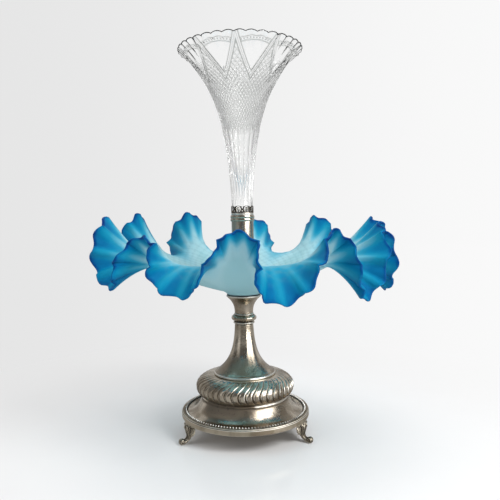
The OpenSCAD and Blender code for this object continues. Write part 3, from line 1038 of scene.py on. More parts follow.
@dataclass
class Column(SubAssembly):
    """Trumpet stem, ringed collar, flared cup and felt above the knop."""

    top_radius: float = 9.2
    foot_ring: float = 2.4
    curve: float = 3.5
    wall: float = 1.5
    hole: float = 3.3
    ring: float = 2.7
    cup_power: float = 2.6
    cup_hollow: float = 7.0
    lip: float = 1.2

    def build(self) -> None:
        """Builds the four pieces."""
        self.build_stem()
        self.build_collar()
        self.build_cup()
        self.build_felt()

    def build_stem(self) -> None:
        """Turns the stem with its rolled foot."""
        span = Span.of("trumpet_stem")
        roll = self.foot_ring / 2
        start = span.radius - roll
        fall = math.exp(-self.curve)

        def side(u: float) -> tuple[float, float]:
            """Gives the stem's side, from its foot to its top."""
            narrowing = (math.exp(-self.curve * u) - fall) / (1 - fall)
            return (self.top_radius + (start - self.top_radius) * narrowing,
                    span.low + self.foot_ring + (span.height - self.foot_ring) * u)

        def rolled(u: float) -> tuple[float, float]:
            """Gives the rolled foot."""
            angle = math.radians(-90 + 165 * u)
            return start + roll * math.cos(angle), span.low + roll + roll * math.sin(angle)

        def inside(u: float) -> tuple[float, float]:
            """Gives the hollow, from the top to the foot."""
            radius, height = side(1 - u)
            return radius - self.wall, height - 2 * self.wall

        def painted_shade(at: np.ndarray) -> np.ndarray:
            """Gives the painted dark reflection on the flare, most on its left."""
            up = at[:, 2] - span.low
            return (0.24 * smooth(2.5, 5, up) * (1 - smooth(12, 30, up))
                    * (0.3 + 0.7 * smooth(-14, 4, -at[:, 0])))

        outline = Outline().to(start - 2, span.low).along(rolled, 8).along(side, 48)
        outline.to(self.hole, span.high).to(self.hole, span.high - 2 * self.wall).along(inside, 24)
        made = self.piece("trumpet_foot_stem", turned(outline), self.palette.silver, "trumpet_stem",
                          hollows=(1.5, 2))
        # painted dark reflection on the flare
        self.paint_shade(made, painted_shade)

    def build_collar(self) -> None:
        """Turns the collar: a fillet, a groove and one bold ring."""
        span = Span.of("stem_collar")
        neck, low, ring = self.top_radius, span.low, self.ring

        def torus(u: float) -> tuple[float, float]:
            """Gives the bold ring."""
            angle = math.radians(-72 + 144 * u)
            return span.radius - ring + ring * math.cos(angle), low + 6.0 + ring * math.sin(angle)

        outline = Outline().to(self.hole, low).to(neck - 0.2, low, 0.1).to(neck - 0.1, low + 0.6, 0.2)
        outline.to(neck + 1.4, low + 0.8, 0.3).to(neck + 1.4, low + 1.9, 0.4).to(neck + 0.1, low + 2.5, 0.3)
        outline.to(neck + 0.1, low + 3.2, 0.2).along(torus, 24).to(neck + 0.2, low + 9.0, 0.2)
        outline.to(neck + 0.7, low + 9.4, 0.2).to(neck + 0.7, low + 10.0, 0.2).to(neck, span.high)
        outline.to(self.hole, span.high)
        self.piece("ringed_collar", turned(outline), self.palette.silver, "stem_collar", hollows=(1.2, 2))

    def build_cup(self) -> None:
        """Turns the cup that flares out under the bowl."""
        span = Span.of("bowl_cup")

        def flare(u: float) -> tuple[float, float]:
            """Gives the cup's side, from its neck to its lip."""
            return (self.top_radius + (span.radius - self.top_radius) * u ** self.cup_power,
                    span.low + (span.height - self.lip) * u)

        floor = span.low + span.height * 0.2
        outline = Outline().to(self.hole, span.low).along(flare, 40).to(span.radius, span.high, 0.35)
        outline.to(self.cup_hollow, span.high, 0.3).to(self.cup_hollow, floor).to(self.hole, floor)
        self.piece("flared_cup", turned(outline), self.palette.silver, "bowl_cup", hollows=(1.5, 2))

    def build_felt(self) -> None:
        """Turns the felt washer under the bowl."""
        span = Span.of("cup_felt")
        outline = Outline().to(self.cup_hollow, span.low, 0.2).to(span.radius, span.low, 0.3)
        outline.to(span.radius, span.high, 0.3).to(self.cup_hollow, span.high, 0.2)
        self.piece("felt_washer", turned(outline), self.palette.felt, "cup_felt", slot=Slot.FELT)


@dataclass(frozen=True)
class Leaf:
    """One lobe of a foot's leaf: its place aside and below the skirt, its half sizes and its lean."""

    across: float
    drop: float
    length: float
    width: float
    lean: float


@dataclass(frozen=True)
class Eye:
    """One scroll eye of a foot: its place aside, outwards and up, and its radius."""

    across: float
    out: float
    up: float
    radius: float


@dataclass
class Foot(SubAssembly):
    """Cast scroll foot: a leaf bracket under the skirt, a leg of two strands and a toe scroll."""

    node: str = ""
    turn: float = 0.0
    toe_out: float = 9.0
    toe_radius: float = 3.1
    foot_radius: float = 60.35
    grain: float = 0.2
    leaves: tuple[Leaf, ...] = (Leaf(3.9, 5.8, 4.6, 1.65, 8), Leaf(6.3, 4.8, 4.2, 1.6, 22),
                                Leaf(8.4, 3.4, 3.6, 1.45, 40), Leaf(9.9, 1.8, 2.4, 1.15, 60))
    eyes: tuple[Eye, ...] = (Eye(3.0, 2.9, 14.6, 1.6), Eye(2.7, -0.6, 10.4, 1.15))

    def __post_init__(self) -> None:
        """Takes the height from the frame."""
        self.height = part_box(self.node)[1].z / MM

    def build(self) -> None:
        """Casts the foot from its forms."""
        bm = bmesh.new()
        self.add_leg(bm)
        self.add_toe(bm)
        for side in (-1, 1):
            self.add_wing(bm, side)
        self.piece("leaf_" + self.node, self.cast(bm), self.palette.painted_shade_cast_silver, self.node, hollows=(1.6, 1))

    def leg_point(self, u: float) -> Vector:
        """Gives the middle of the leg, from the skirt to the toe.

        Args:
            u: share of the leg's length.

        Returns:
            The point, outwards and up.
        """
        out, high = self.toe_out, self.height
        points = ((0.6, high), (out * 0.75, high * 0.66), (-out * 0.45, high * 0.36),
                  (out - self.toe_radius / 2, self.toe_radius * 0.6))
        weights = ((1 - u) ** 3, 3 * (1 - u) ** 2 * u, 3 * (1 - u) * u * u, u ** 3)
        return sum((w * Vector(p) for w, p in zip(weights, points)), Vector((0.0, 0.0)))

    def add_leg(self, bm: bmesh.types.BMesh) -> None:
        """Adds the leg: two strands with a channel between them over a core, and a leaf on the knee.

        Args:
            bm: gets the leg.
        """
        def strand(side: float, inwards: float) -> Callable[[float], Vector]:
            """Gives the path of a strand on one side of the leg, or of the core behind."""
            def path(u: float) -> Vector:
                """Gives the strand's middle."""
                middle = self.leg_point(u)
                return Vector((side * (1.45 + 1.5 * (1 - u) ** 2), inwards - middle.x, middle.y))
            return path

        for side in (-1, 1):
            self.add_tube(bm, strand(side, 0.0), lambda u: 1.45 + 0.8 * (1 - u) ** 1.5)
        self.add_tube(bm, strand(0, 1.0), lambda u: 1.6 + 1.0 * (1 - u))
        knee = self.leg_point(0.24)
        self.add_blob(bm, (0, -knee.x - 1.0, knee.y + 0.6), (1.2, 0.9, 3.0), 0)

    def add_toe(self, bm: bmesh.types.BMesh) -> None:
        """Adds the toe scroll with an eye on each side.

        Args:
            bm: gets the toe.
        """
        r = self.toe_radius
        self.add_blob(bm, (0, -self.toe_out, r * 0.93), (r * 0.98, r, r * 0.95), 0)
        for side in (-1, 1):
            self.add_eye(bm, (side * r * 0.72, -self.toe_out, r * 0.95), r * 0.5, r * 0.22)

    def add_wing(self, bm: bmesh.types.BMesh, side: int) -> None:
        """Adds the leaf on one side of the bracket: scroll eyes, and lobes that spread under the skirt.

        Args:
            bm: gets the leaf.
            side: -1 for the left side and 1 for the right one.
        """
        top = self.height
        for leaf in self.leaves:
            self.add_blob(bm, (side * leaf.across, -0.9, top - leaf.drop),
                          (leaf.width, leaf.width * 0.9, leaf.length), side * leaf.lean)
        for eye in self.eyes:
            self.add_eye(bm, (side * eye.across, -eye.out, eye.up), eye.radius, eye.radius * 0.45)
        self.add_blob(bm, (side * 4.6, -0.5, top - 0.6), (5.6, 1.7, 1.5), 0)

    @staticmethod
    def add_blob(bm: bmesh.types.BMesh, place: Sequence[float], size: Sequence[float], lean: float) -> None:
        """Adds an egg-shaped form.

        Args:
            bm: gets the form.
            place: its middle, in millimetres.
            size: its half widths, in millimetres.
            lean: degrees by which it leans sideways.
        """
        matrix = (Matrix.Translation(Vector(place) * MM) @ Matrix.Rotation(math.radians(-lean), 4, "Y")
                  @ Matrix.Diagonal((*size, 1)))
        bmesh.ops.create_uvsphere(bm, u_segments=20, v_segments=14, radius=MM, matrix=matrix)

    def add_eye(self, bm: bmesh.types.BMesh, place: Sequence[float], radius: float, thick: float) -> None:
        """Adds a scroll eye: a ring about an axis that runs across the foot, with a boss in it.

        Args:
            bm: gets the form.
            place: its middle, in millimetres.
            radius: radius of the ring's middle line.
            thick: half the ring's thickness.
        """
        spot = Matrix.Translation(Vector(place) * MM) @ Matrix.Rotation(math.pi / 2, 4, "Y")
        aside = Matrix.Translation((radius * MM, 0, 0)) @ Matrix.Rotation(math.pi / 2, 4, "X")
        made = bmesh.new()
        bmesh.ops.create_circle(made, segments=10, radius=thick * MM, matrix=aside)
        bmesh.ops.spin(made, geom=made.verts[:] + made.edges[:], cent=(0, 0, 0), axis=(0, 0, 1), angle=TAU,
                       steps=24, use_merge=True)
        closed_up(made)
        bmesh.ops.transform(made, matrix=spot, verts=made.verts)
        self.join(bm, made)
        bmesh.ops.create_uvsphere(bm, u_segments=12, v_segments=8, radius=radius * 0.35 * MM, matrix=spot)

    def add_tube(self, bm: bmesh.types.BMesh, path: Callable[[float], Vector],
                 radius: Callable[[float], float]) -> None:
        """Adds a round strand along a path.

        Args:
            bm: gets the form.
            path: gives the strand's middle at a share from 0 to 1, in millimetres.
            radius: gives its radius there.
        """
        steps, around = 26, 14
        rows = []
        for i in range(steps + 1):
            u = i / steps
            along = (path(min(1, u + 0.01)) - path(max(0, u - 0.01))).normalized()
            side = (Vector((1, 0, 0)) - along * along.x).normalized()
            other = along.cross(side)
            angles = [TAU * k / around for k in range(around + 1)]
            rows.append([path(u) + (side * math.cos(a) + other * math.sin(a)) * radius(u) for a in angles])
        made = skinned(np.array(rows))
        bmesh.ops.holes_fill(made, edges=made.edges, sides=0)
        bmesh.ops.recalc_face_normals(made, faces=made.faces)
        self.join(bm, made)

    @staticmethod
    def join(target: bmesh.types.BMesh, extra: bmesh.types.BMesh) -> None:
        """Adds one mesh to another.

        Args:
            target: gets the other mesh.
            extra: what is added, which is freed.
        """
        mesh = bpy.data.meshes.new("extra")
        extra.to_mesh(mesh)
        extra.free()
        target.from_mesh(mesh)
        bpy.data.meshes.remove(mesh)

    def cast(self, forms: bmesh.types.BMesh) -> bmesh.types.BMesh:
        """Fuses the forms into one cast surface, in its place under the skirt.

        Args:
            forms: closed forms round the foot's own middle, which are freed.

        Returns:
            The cast foot.
        """
        mould = placed("mould", forms)
        mesh = mould.data
        fuse = mould.modifiers.new("fuse", "REMESH")
        fuse.mode = "VOXEL"
        fuse.voxel_size = self.grain * MM
        soften = mould.modifiers.new("soften", "SMOOTH")
        soften.iterations = 3
        soften.factor = 0.5
        fused = bpy.data.meshes.new_from_object(mould.evaluated_get(bpy.context.evaluated_depsgraph_get()))
        bpy.data.objects.remove(mould)
        bpy.data.meshes.remove(mesh)
        bm = bmesh.new()
        bm.from_mesh(fused)
        bpy.data.meshes.remove(fused)
        place = Matrix.Rotation(math.radians(self.turn), 4, "Z") @ Matrix.Translation(
            (0, -self.foot_radius * MM, 0))
        bmesh.ops.transform(bm, matrix=place, verts=bm.verts)
        for height, keep in ((self.height * MM, -1), (0.0, 1)):
            bmesh.ops.bisect_plane(bm, geom=bm.verts[:] + bm.edges[:] + bm.faces[:], dist=MERGE,
                                   plane_co=(0, 0, height), plane_no=(0, 0, -keep), clear_outer=True)
            bmesh.ops.holes_fill(bm, edges=bm.edges, sides=0)
        return closed_up(bm)


@dataclass(frozen=True)
class Fold:
    """One fold of the bowl's rim: degrees from the front, and shares of the swing, hang and flank."""

    turn: float
    reach: float
    lift: float
    lean: float


@dataclass
class Bowl(SubAssembly):
    """Ruffled satin glass bowl on its flat seat."""

    body: ClassVar[Body] = Body.BOWL
    reach: float = 133.0
    rise: float = 55.0
    hang: float = 55.0
    even: float = 0.5
    glass: float = 3.0
    rim_glass: float = 2.1
    seat_radius: float = 16.5
    seat: float = 6.3
    hole: float = 6.0
    calm: float = 0.64
    swing: float = 12.0
    power: float = 1.6
    columns: int = 880
    flank_crimps: int = 4
    uncrimped: float = 0.72
    crimp_depth: float = 3.6
    pleat_depth: float = 2.4
    fine_depth: float = 0.5
    notch: float = 0.02
    edge_shade: float = 0.06
    edge_width: float = 4.0
    # strength of the painted shade along the crimps
    crimp_shade: float = 0.15
    ripple: float = 0.16
    ripple_pitch: float = 4.4
    blue_width: float = 128.0
    body_blue: float = 0.86
    edge_blue: float = 0.16
    pale_fold: float = 0.58
    pale_front: float = 0.16
    quilts: int = 56
    quilt_rows: float = 14.0
    quilt_depth: float = 0.45
    side_length: float = 150.0
    inner_rows: tuple[float, float] = (0.075, 0.78)
    outer_rows: tuple[float, float] = (0.74, 0.06)
    well: tuple[float, ...] = (8.0, 14.0)
    foot: tuple[tuple[float, float], ...] = ((18.3, 1.9), (17.1, 0.9), (16.5, 0.3), (16.1, 0.0))
    margin: float = 2.5
    folds: tuple[Fold, ...] = (
        Fold(-2.5, -1, 0.16, 0.24), Fold(13.2, -0.17, -0.95, 0.04), Fold(39.5, -1, 0.15, 0.20),
        Fold(50, 0.25, -1, 0.12), Fold(68, 0.25, 0.24, 0.15), Fold(84, 0.67, -1, 0.15),
        Fold(101, 0.5, 0.33, 0.15), Fold(118, 0.42, -0.87, 0.15), Fold(136, -0.92, 0.38, 0.15),
        Fold(155, 0.08, -0.84, 0.15), Fold(174, -1.08, 0.35, 0.15), Fold(193, 0.08, -0.84, 0.15),
        Fold(211.5, -1, 0.49, 0.15), Fold(228, 0.17, -0.84, 0.15), Fold(245, -0.67, 0.47, 0.12),
        Fold(261, 0.42, -0.84, 0.12), Fold(278, 0, 0.4, 0.15), Fold(302.5, 0.58, -0.78, 0.15),
        Fold(317, -0.83, 0.09, 0.16), Fold(336.6, -0.33, -0.85, 0.04))

    def __post_init__(self) -> None:
        """Takes the seat's height from the frame."""
        self.seat_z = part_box("cup_felt")[1].z / MM

    def smooth_side(self, t: np.ndarray, s: np.ndarray) -> np.ndarray:
        """Gives the middle of the glass without its crimps.

        Args:
            t: place round the rim, counted in folds.
            s: share of the side from the seat to the rim.

        Returns:
            The points.
        """
        table = np.array([(f.turn, f.reach, f.lift, f.lean) for f in self.folds])
        count = len(table)
        index = np.floor(t).astype(int)
        share = t - index
        here, there = table[index % count], table[(index + 1) % count]
        start = here[..., 0] + 360 * (index // count)
        end = there[..., 0] + 360 * ((index + 1) // count)
        weight = np.maximum(0, (s - self.calm) / (1 - self.calm)) ** self.power
        ease = (1 - np.cos(math.pi * share)) / 2
        turn = np.radians(start + (end - start) * (share + here[..., 3] * weight * np.sin(TAU * share)))
        reach = here[..., 1] + (there[..., 1] - here[..., 1]) * ease + np.sin(math.pi * share) ** 2
        lift = here[..., 2] + (there[..., 2] - here[..., 2]) * ease
        first = self.seat_radius - self.glass
        radius = first + (self.reach - first) * s + self.swing * reach * weight
        height = (self.seat_z + self.seat / 2 + self.rise * (self.even * s + (1 - self.even) * s * s)
                  + self.hang * lift * weight)
        return on_ring(turn, radius, height)

    @staticmethod
    def normals(side: Side, t: np.ndarray, s: np.ndarray) -> np.ndarray:
        """Gives unit vectors square to a side, towards the hollow of the bowl.

        Args:
            side: gives points of the side.
            t: places round the rim.
            s: shares from the seat to the rim.

        Returns:
            The vectors.
        """
        along = side(t + 0.01, s) - side(t - 0.01, s)
        out = side(t, np.minimum(1, s + 0.004)) - side(t, np.maximum(0, s - 0.004))
        square = np.cross(out, along)
        return square / np.linalg.norm(square, axis=-1, keepdims=True)

    def phase(self, t: np.ndarray) -> np.ndarray:
        """Gives the phase of the crimps, whose crests lie evenly on each flank of a fold."""
        return TAU * self.flank_crimps * t

    def crimp(self, t: np.ndarray, s: np.ndarray) -> np.ndarray:
        """Gives how far the crimps and pleats of the rim stand out of the smooth side.

        Args:
            t: places round the rim.
            s: shares from the seat to the rim.

        Returns:
            Heights of the crimps, which are calm at the folds.
        """
        turn = TAU * t / len(self.folds)
        aside = np.sin(turn) ** 2
        phase = self.phase(t)
        wave = 1 - 2 * np.abs(np.sin(phase / 2 + 0.3 * np.sin(phase))) ** 0.85
        wave = wave * (0.6 + 0.25 * np.sin(11 * turn + 1.3) + 0.3 * aside)
        fine = np.sin(2.5 * phase + 3 * np.sin(5 * turn)) * smooth(0.9, 1, s)
        pleat = 1 - 2 * np.abs(np.sin(TAU * t + 0.87 + 0.52 * np.sin(9 * turn))) ** 0.6
        near = np.maximum(0, (s - self.uncrimped) / (1 - self.uncrimped)) ** self.power
        calm = 0.15 + 0.85 * np.sqrt(np.abs(np.sin(math.pi * t)))
        return near * calm * (self.crimp_depth * wave + self.pleat_depth * (0.4 + 0.6 * aside) * pleat
                              + self.fine_depth * fine)

    def side(self, t: np.ndarray, s: np.ndarray) -> np.ndarray:
        """Gives the middle of the glass with its crimps and the notched edge.

        Args:
            t: places round the rim.
            s: shares from the seat to the rim.

        Returns:
            The points.
        """
        s = s - self.notch * (1 - np.sin(self.phase(t))) / 2 * smooth(0.88, 1, s)
        lift = self.crimp(t, s)[..., None]
        return self.smooth_side(t, s) + self.normals(self.smooth_side, t, s) * lift

    def quilt(self, t: np.ndarray, s: np.ndarray) -> np.ndarray:
        """Gives the height of the quilted diamonds inside the bowl.

        Args:
            t: places round the rim.
            s: shares from the seat to the rim.

        Returns:
            Heights, from 0 in the seams to 1 on the cushions.
        """
        turn = TAU * t / len(self.folds)
        rows = self.quilt_rows * s
        across = self.quilts / 2 * turn
        return np.abs(np.sin(across + math.pi * rows) * np.sin(across - math.pi * rows)) ** 0.7

    def held(self, points: np.ndarray) -> np.ndarray:
        """Presses points that would leave the CAD node's box softly back into it.

        Args:
            points: the points.

        Returns:
            The points in the box.
        """
        low, high = (np.array(corner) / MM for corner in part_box("bowl"))
        for wall, way in ((high, 1), (-low, -1)):
            past = np.maximum(0, way * points - wall + self.margin)
            points = points - way * (past - self.margin * (1 - np.exp(-past / self.margin)))
        return points

    def bearing(self, t: np.ndarray) -> np.ndarray:
        """Gives angles from the front, as if all folds were of one width."""
        return np.radians(self.folds[0].turn) + TAU * t / len(self.folds)

    def ripples(self, t: np.ndarray, s: np.ndarray) -> np.ndarray:
        """Gives the height of the ripples on the underside.

        Args:
            t: places round the rim.
            s: shares from the seat to the rim.

        Returns:
            The heights.
        """
        turn = self.bearing(t)
        waver = 2 * np.sin(3 * turn)
        lines = np.sin(TAU * self.side_length * s / self.ripple_pitch + waver + np.sin(8 * turn))
        return self.ripple * lines * smooth(0.1, 0.3, s) * (1 - smooth(0.65, 0.8, s))

    def blue(self, t: np.ndarray, s: np.ndarray, height: float) -> np.ndarray:
        """Gives how deep the blue is: narrow on raised folds, with painted shade along the crimps, darkest
        at the edge.

        Args:
            t: places round the rim.
            s: shares from the seat to the rim.
            height: 1 for the inside, -1 for the underside, and between them on the rim.

        Returns:
            Depths, from 0 to 1.
        """
        turn = self.bearing(t)
        waver = 5 * np.sin(9 * turn + 1.0) * np.sin(4 * turn) * (1 - s) ** 0.5
        to_rim = self.side_length * (1 - s) + waver
        raised_fold = 0.5 + 0.5 * np.cos(math.pi * t)
        pale = self.pale_fold + self.pale_front * smooth(0.3, 0.95, np.cos(turn))
        width = self.blue_width * (1 - pale * raised_fold)
        # painted shade: deeper blue in the crimp valleys, paler on their crests, flipped on the underside
        crimp_shade = self.crimp_shade * np.cos(self.phase(t)) * smooth(0.68, 0.95, s) * np.sign(height)
        body = self.body_blue * np.clip(1 - to_rim / width - crimp_shade, 0, 1)
        edge = self.edge_blue * (0.3 + 0.7 * raised_fold) * (1 - smooth(0.5, self.edge_width, to_rim))
        # painted shade at the edge: paler on crimp crests than in their valleys
        crest = 0.5 + 0.5 * np.cos(self.phase(t)) * np.sin(5 * turn + 1.0)
        return np.minimum(body + edge, 1 - self.edge_shade * crest * (height > -1))

    def add_row(self, skin: Skin, t: np.ndarray, share: float, height: float, quilted: float) -> None:
        """Adds a row of the side, with its blue and the painted shade in the seams of its quilting.

        Args:
            skin: gets the row.
            t: places round the rim.
            share: the row's share of the side, from the seat to the rim.
            height: 1 for the inside, -1 for the underside, and between them on the rim.
            quilted: how much of the quilting it has.
        """
        s = np.full(t.shape, share)
        fade = quilted * smooth(0.05, 0.2, s) * (1 - smooth(0.72, 0.95, s))
        cushion = self.quilt(t, s)
        thick = self.glass / 2 + (self.rim_glass - self.glass) / 2 * smooth(0.75, 1, s)
        raised = height * thick + fade * self.quilt_depth * cushion
        if height == -1:
            raised = raised + self.ripples(t, s)
        points = self.side(t, s) + self.normals(self.side, t, s) * raised[:, None]
        skin.add(self.held(points), depth=self.blue(t, s, height), seam=fade * (1 - cushion) ** 3)

    def build(self) -> None:
        """Lays the skin of the glass: the hollow, the rounded rim, the underside and the seat."""
        t = np.linspace(0, len(self.folds), self.columns + 1)
        turn = self.bearing(t)
        skin = Skin()
        last = 1 - self.rim_glass / 2 / self.side_length
        first, fine = self.inner_rows
        for radius in (self.hole, *self.well):
            skin.add(on_ring(turn, radius, self.seat_z + self.seat), depth=0.0, seam=0.0)
        for share in (*np.linspace(first, fine, 46), *np.linspace(fine, last, 17)[1:]):
            self.add_row(skin, t, share, 1.0, 1.0)
        for angle in np.linspace(math.pi / 2, -math.pi / 2, 7)[1:-1]:
            self.add_row(skin, t, last + (1 - last) * math.cos(angle), math.sin(angle), 0.0)
        fine, end = self.outer_rows
        for share in (*np.linspace(last, fine, 18), *np.linspace(fine, end, 11)[1:]):
            self.add_row(skin, t, share, -1.0, 0.0)
        for radius, height in (*self.foot, (self.hole, 0.0)):
            skin.add(on_ring(turn, radius, self.seat_z + height), depth=0.0, seam=0.0)
        skin.close()
        self.piece("ruffled_bowl", skin.laid(), self.palette.satin, "bowl", slot=Slot.SATIN_GLASS)


@dataclass(frozen=True)
class Oval:
    """An oval of the gallery's openwork: its depth, its place aside and up, and its half sizes."""

    depth: float
    aside: float
    up: float
    wide: float
    high: float

    def inside(self, aside: np.ndarray, up: np.ndarray) -> np.ndarray:
        """Gives how deep points lie in the oval, negative outside it."""
        return self.depth - np.hypot((aside - self.aside) / self.wide, (up - self.up) / self.high)


@dataclass
class VaseSocket(SubAssembly):
    """Tube that holds the vase, with its reeded band, pierced gallery, clamp and packing."""

    body: ClassVar[Body] = Body.SOCKET
    wall: float = 0.8
    spigot: float = 5.0
    thread: float = 3.05
    thread_length: float = 15.0
    columns: int = 96
    reed: float = 0.35
    leaves: int = 8
    leaf_columns: int = 44
    rows: int = 48
    gallery_wall: float = 0.8
    leaf_tip: Oval = Oval(0.85, 0.0, 3.5, 0.75, 1.5)
    upper: Oval = Oval(0.75, 0.0, 7.7, 0.85, 1.25)
    lower: Oval = Oval(0.8, 0.0, 4.0, 0.85, 1.35)
    chink: Oval = Oval(0.3, 1.3, 5.9, 0.8, 1.3)
    edge_passes: int = 6
    edge_round: float = 0.12

    def build(self) -> None:
        """Builds the socket's pieces and dresses those inside."""
        self.build_tube()
        self.build_band()
        self.build_gallery()
        self.dress_node("clamp_disc", self.palette.silver)
        self.dress_node("bowl_felt", self.palette.felt)
        self.dress_node("cork_sleeve", self.palette.cork)

    def build_tube(self) -> None:
        """Turns the tube on its spigot."""
        span = Span.of("vase_socket")
        clamp = Span.of("clamp_disc")
        sleeve = Span.of("cork_sleeve")
        r, inner = span.radius, span.radius - self.wall
        end = span.low + self.thread_length
        outline = Outline().to(self.thread, span.low).to(self.spigot, span.low, 0.2)
        outline.to(self.spigot, clamp.high).to(r, clamp.high, 0.4).to(r, span.high, 0.15)
        outline.to(inner, span.high, 0.15).to(inner, sleeve.low).to(0, sleeve.low)
        outline.to(0, end).to(self.thread, end)
        made = self.piece("plain_tube", turned(outline, self.columns), self.palette.tube_silver,
                          "vase_socket", hollows=(1.5, 2))
        # painted dark reflection: darker on the left half and in a band down the middle
        self.paint_shade(made, lambda at: 0.3 * smooth(0, 5, -at[:, 0]) + 0.2 * ridge(at[:, 0] - 0.5, 5))
        self.keep_flats(made)

    def build_band(self) -> None:
        """Turns the band with its two reeds."""
        span = Span.of("reeded_band")
        tube = Span.of("vase_socket").radius + 0.05
        base = span.radius - self.reed

        def reeds(u: float) -> tuple[float, float]:
            """Gives the two reeds, from the band's foot to its top."""
            return base + self.reed * abs(math.sin(TAU * u)) ** 1.5, span.low + span.height * u

        outline = Outline().to(tube, span.low).along(reeds, 48).to(tube, span.high)
        made = self.piece("reeds", turned(outline), self.palette.tube_silver, "reeded_band",
                          hollows=(0.2, 2))
        # painted shade: darker on the left half
        self.paint_shade(made, lambda at: 0.25 * smooth(0, 5, -at[:, 0]))

    def open_at(self, around: np.ndarray, up: np.ndarray) -> np.ndarray:
        """Tells where the gallery is open: drops with a leaf tip in them, and chinks beside crossed straps.

        Args:
            around: place round the gallery from the front, counted in leaves.
            up: height above the gallery's foot, in millimetres.

        Returns:
            Millimetres into the open, negative in the metal.
        """
        span = Span.of("pierced_gallery")
        width = TAU * span.radius / self.leaves
        drop_x = (around - np.floor(around) - 0.5) * width
        strap_x = (around + 0.5 - np.floor(around + 0.5) - 0.5) * width
        drop = 2.7 * (1 - np.hypot(drop_x / (2.8 - 0.10 * (up - 5.4)), (up - 6.0) / 3.1))
        drop = np.minimum(drop, -self.leaf_tip.inside(drop_x, up))
        chinks = [oval.inside(np.abs(strap_x), up) for oval in (self.upper, self.lower, self.chink)]
        edge = up - (span.height - 0.9 * np.abs(np.sin(math.pi * (around + 0.5))) ** 2)
        return np.maximum.reduce((edge, drop, *chinks))

    def build_gallery(self) -> None:
        """Cuts the gallery: crossed straps between drops, with a swelling under each drop; painted shade
        darkens its outside and straps, and painted highlight lightens its lower border and inner faces.
        """
        span = Span.of("pierced_gallery")
        around, up = np.meshgrid(np.linspace(0, self.leaves, self.leaves * self.leaf_columns + 1),
                                 np.linspace(0, span.height, self.rows + 1))
        angle = TAU * around / self.leaves
        swell = 0.25 * np.abs(np.sin(math.pi * around)) ** 4 * ridge(up - 1.6, 2.8)
        middle = span.radius - self.gallery_wall / 2 + swell
        # painted shade on the straps above (raised mark) and painted highlight on the lower border (lowered
        # mark)
        wear_and_painted_light = 0.9 - 1.8 * (1 - smooth(2.0, 3.0, up))
        bm = skinned(on_ring(angle, middle, span.low + up),
                     {"open": self.open_at(around, up), "hollow": wear_and_painted_light})
        layer = bm.verts.layers.float["open"]
        cut = [f for f in bm.faces if sum(v[layer] for v in f.verts) > 0]
        bmesh.ops.delete(bm, geom=cut, context="FACES")
        rim = [v for v in bm.verts if v.is_boundary and v.co.z > (span.low + 0.2) * MM]
        for _ in range(self.edge_passes):
            bmesh.ops.smooth_vert(bm, verts=rim, factor=0.5, use_axis_x=True, use_axis_y=True,
                                  use_axis_z=True)
        bmesh.ops.solidify(bm, geom=bm.faces[:], thickness=self.gallery_wall * MM)
        bm.normal_update()
        mark = bm.verts.layers.float["hollow"]
        # inner faces get a lowered mark: painted highlight seen through the openings
        for face in bm.faces:
            if face.normal.xy.dot(face.calc_center_median().xy.normalized()) < -0.5:
                face.material_index = 1
                for vert in face.verts:
                    vert[mark] = -0.5
        # outside in the near-black copy, inner faces in the near-white copy: painted shade and painted
        # highlight
        made = self.piece("leaf_gallery", bm, self.palette.painted_shade_silver, "pierced_gallery")
        made.data.materials.append(self.palette.painted_highlight_silver)
        soften = made.modifiers.new("edges", "BEVEL")
        soften.width = self.edge_round * MM
        soften.segments = 2
        soften.limit_method = "ANGLE"


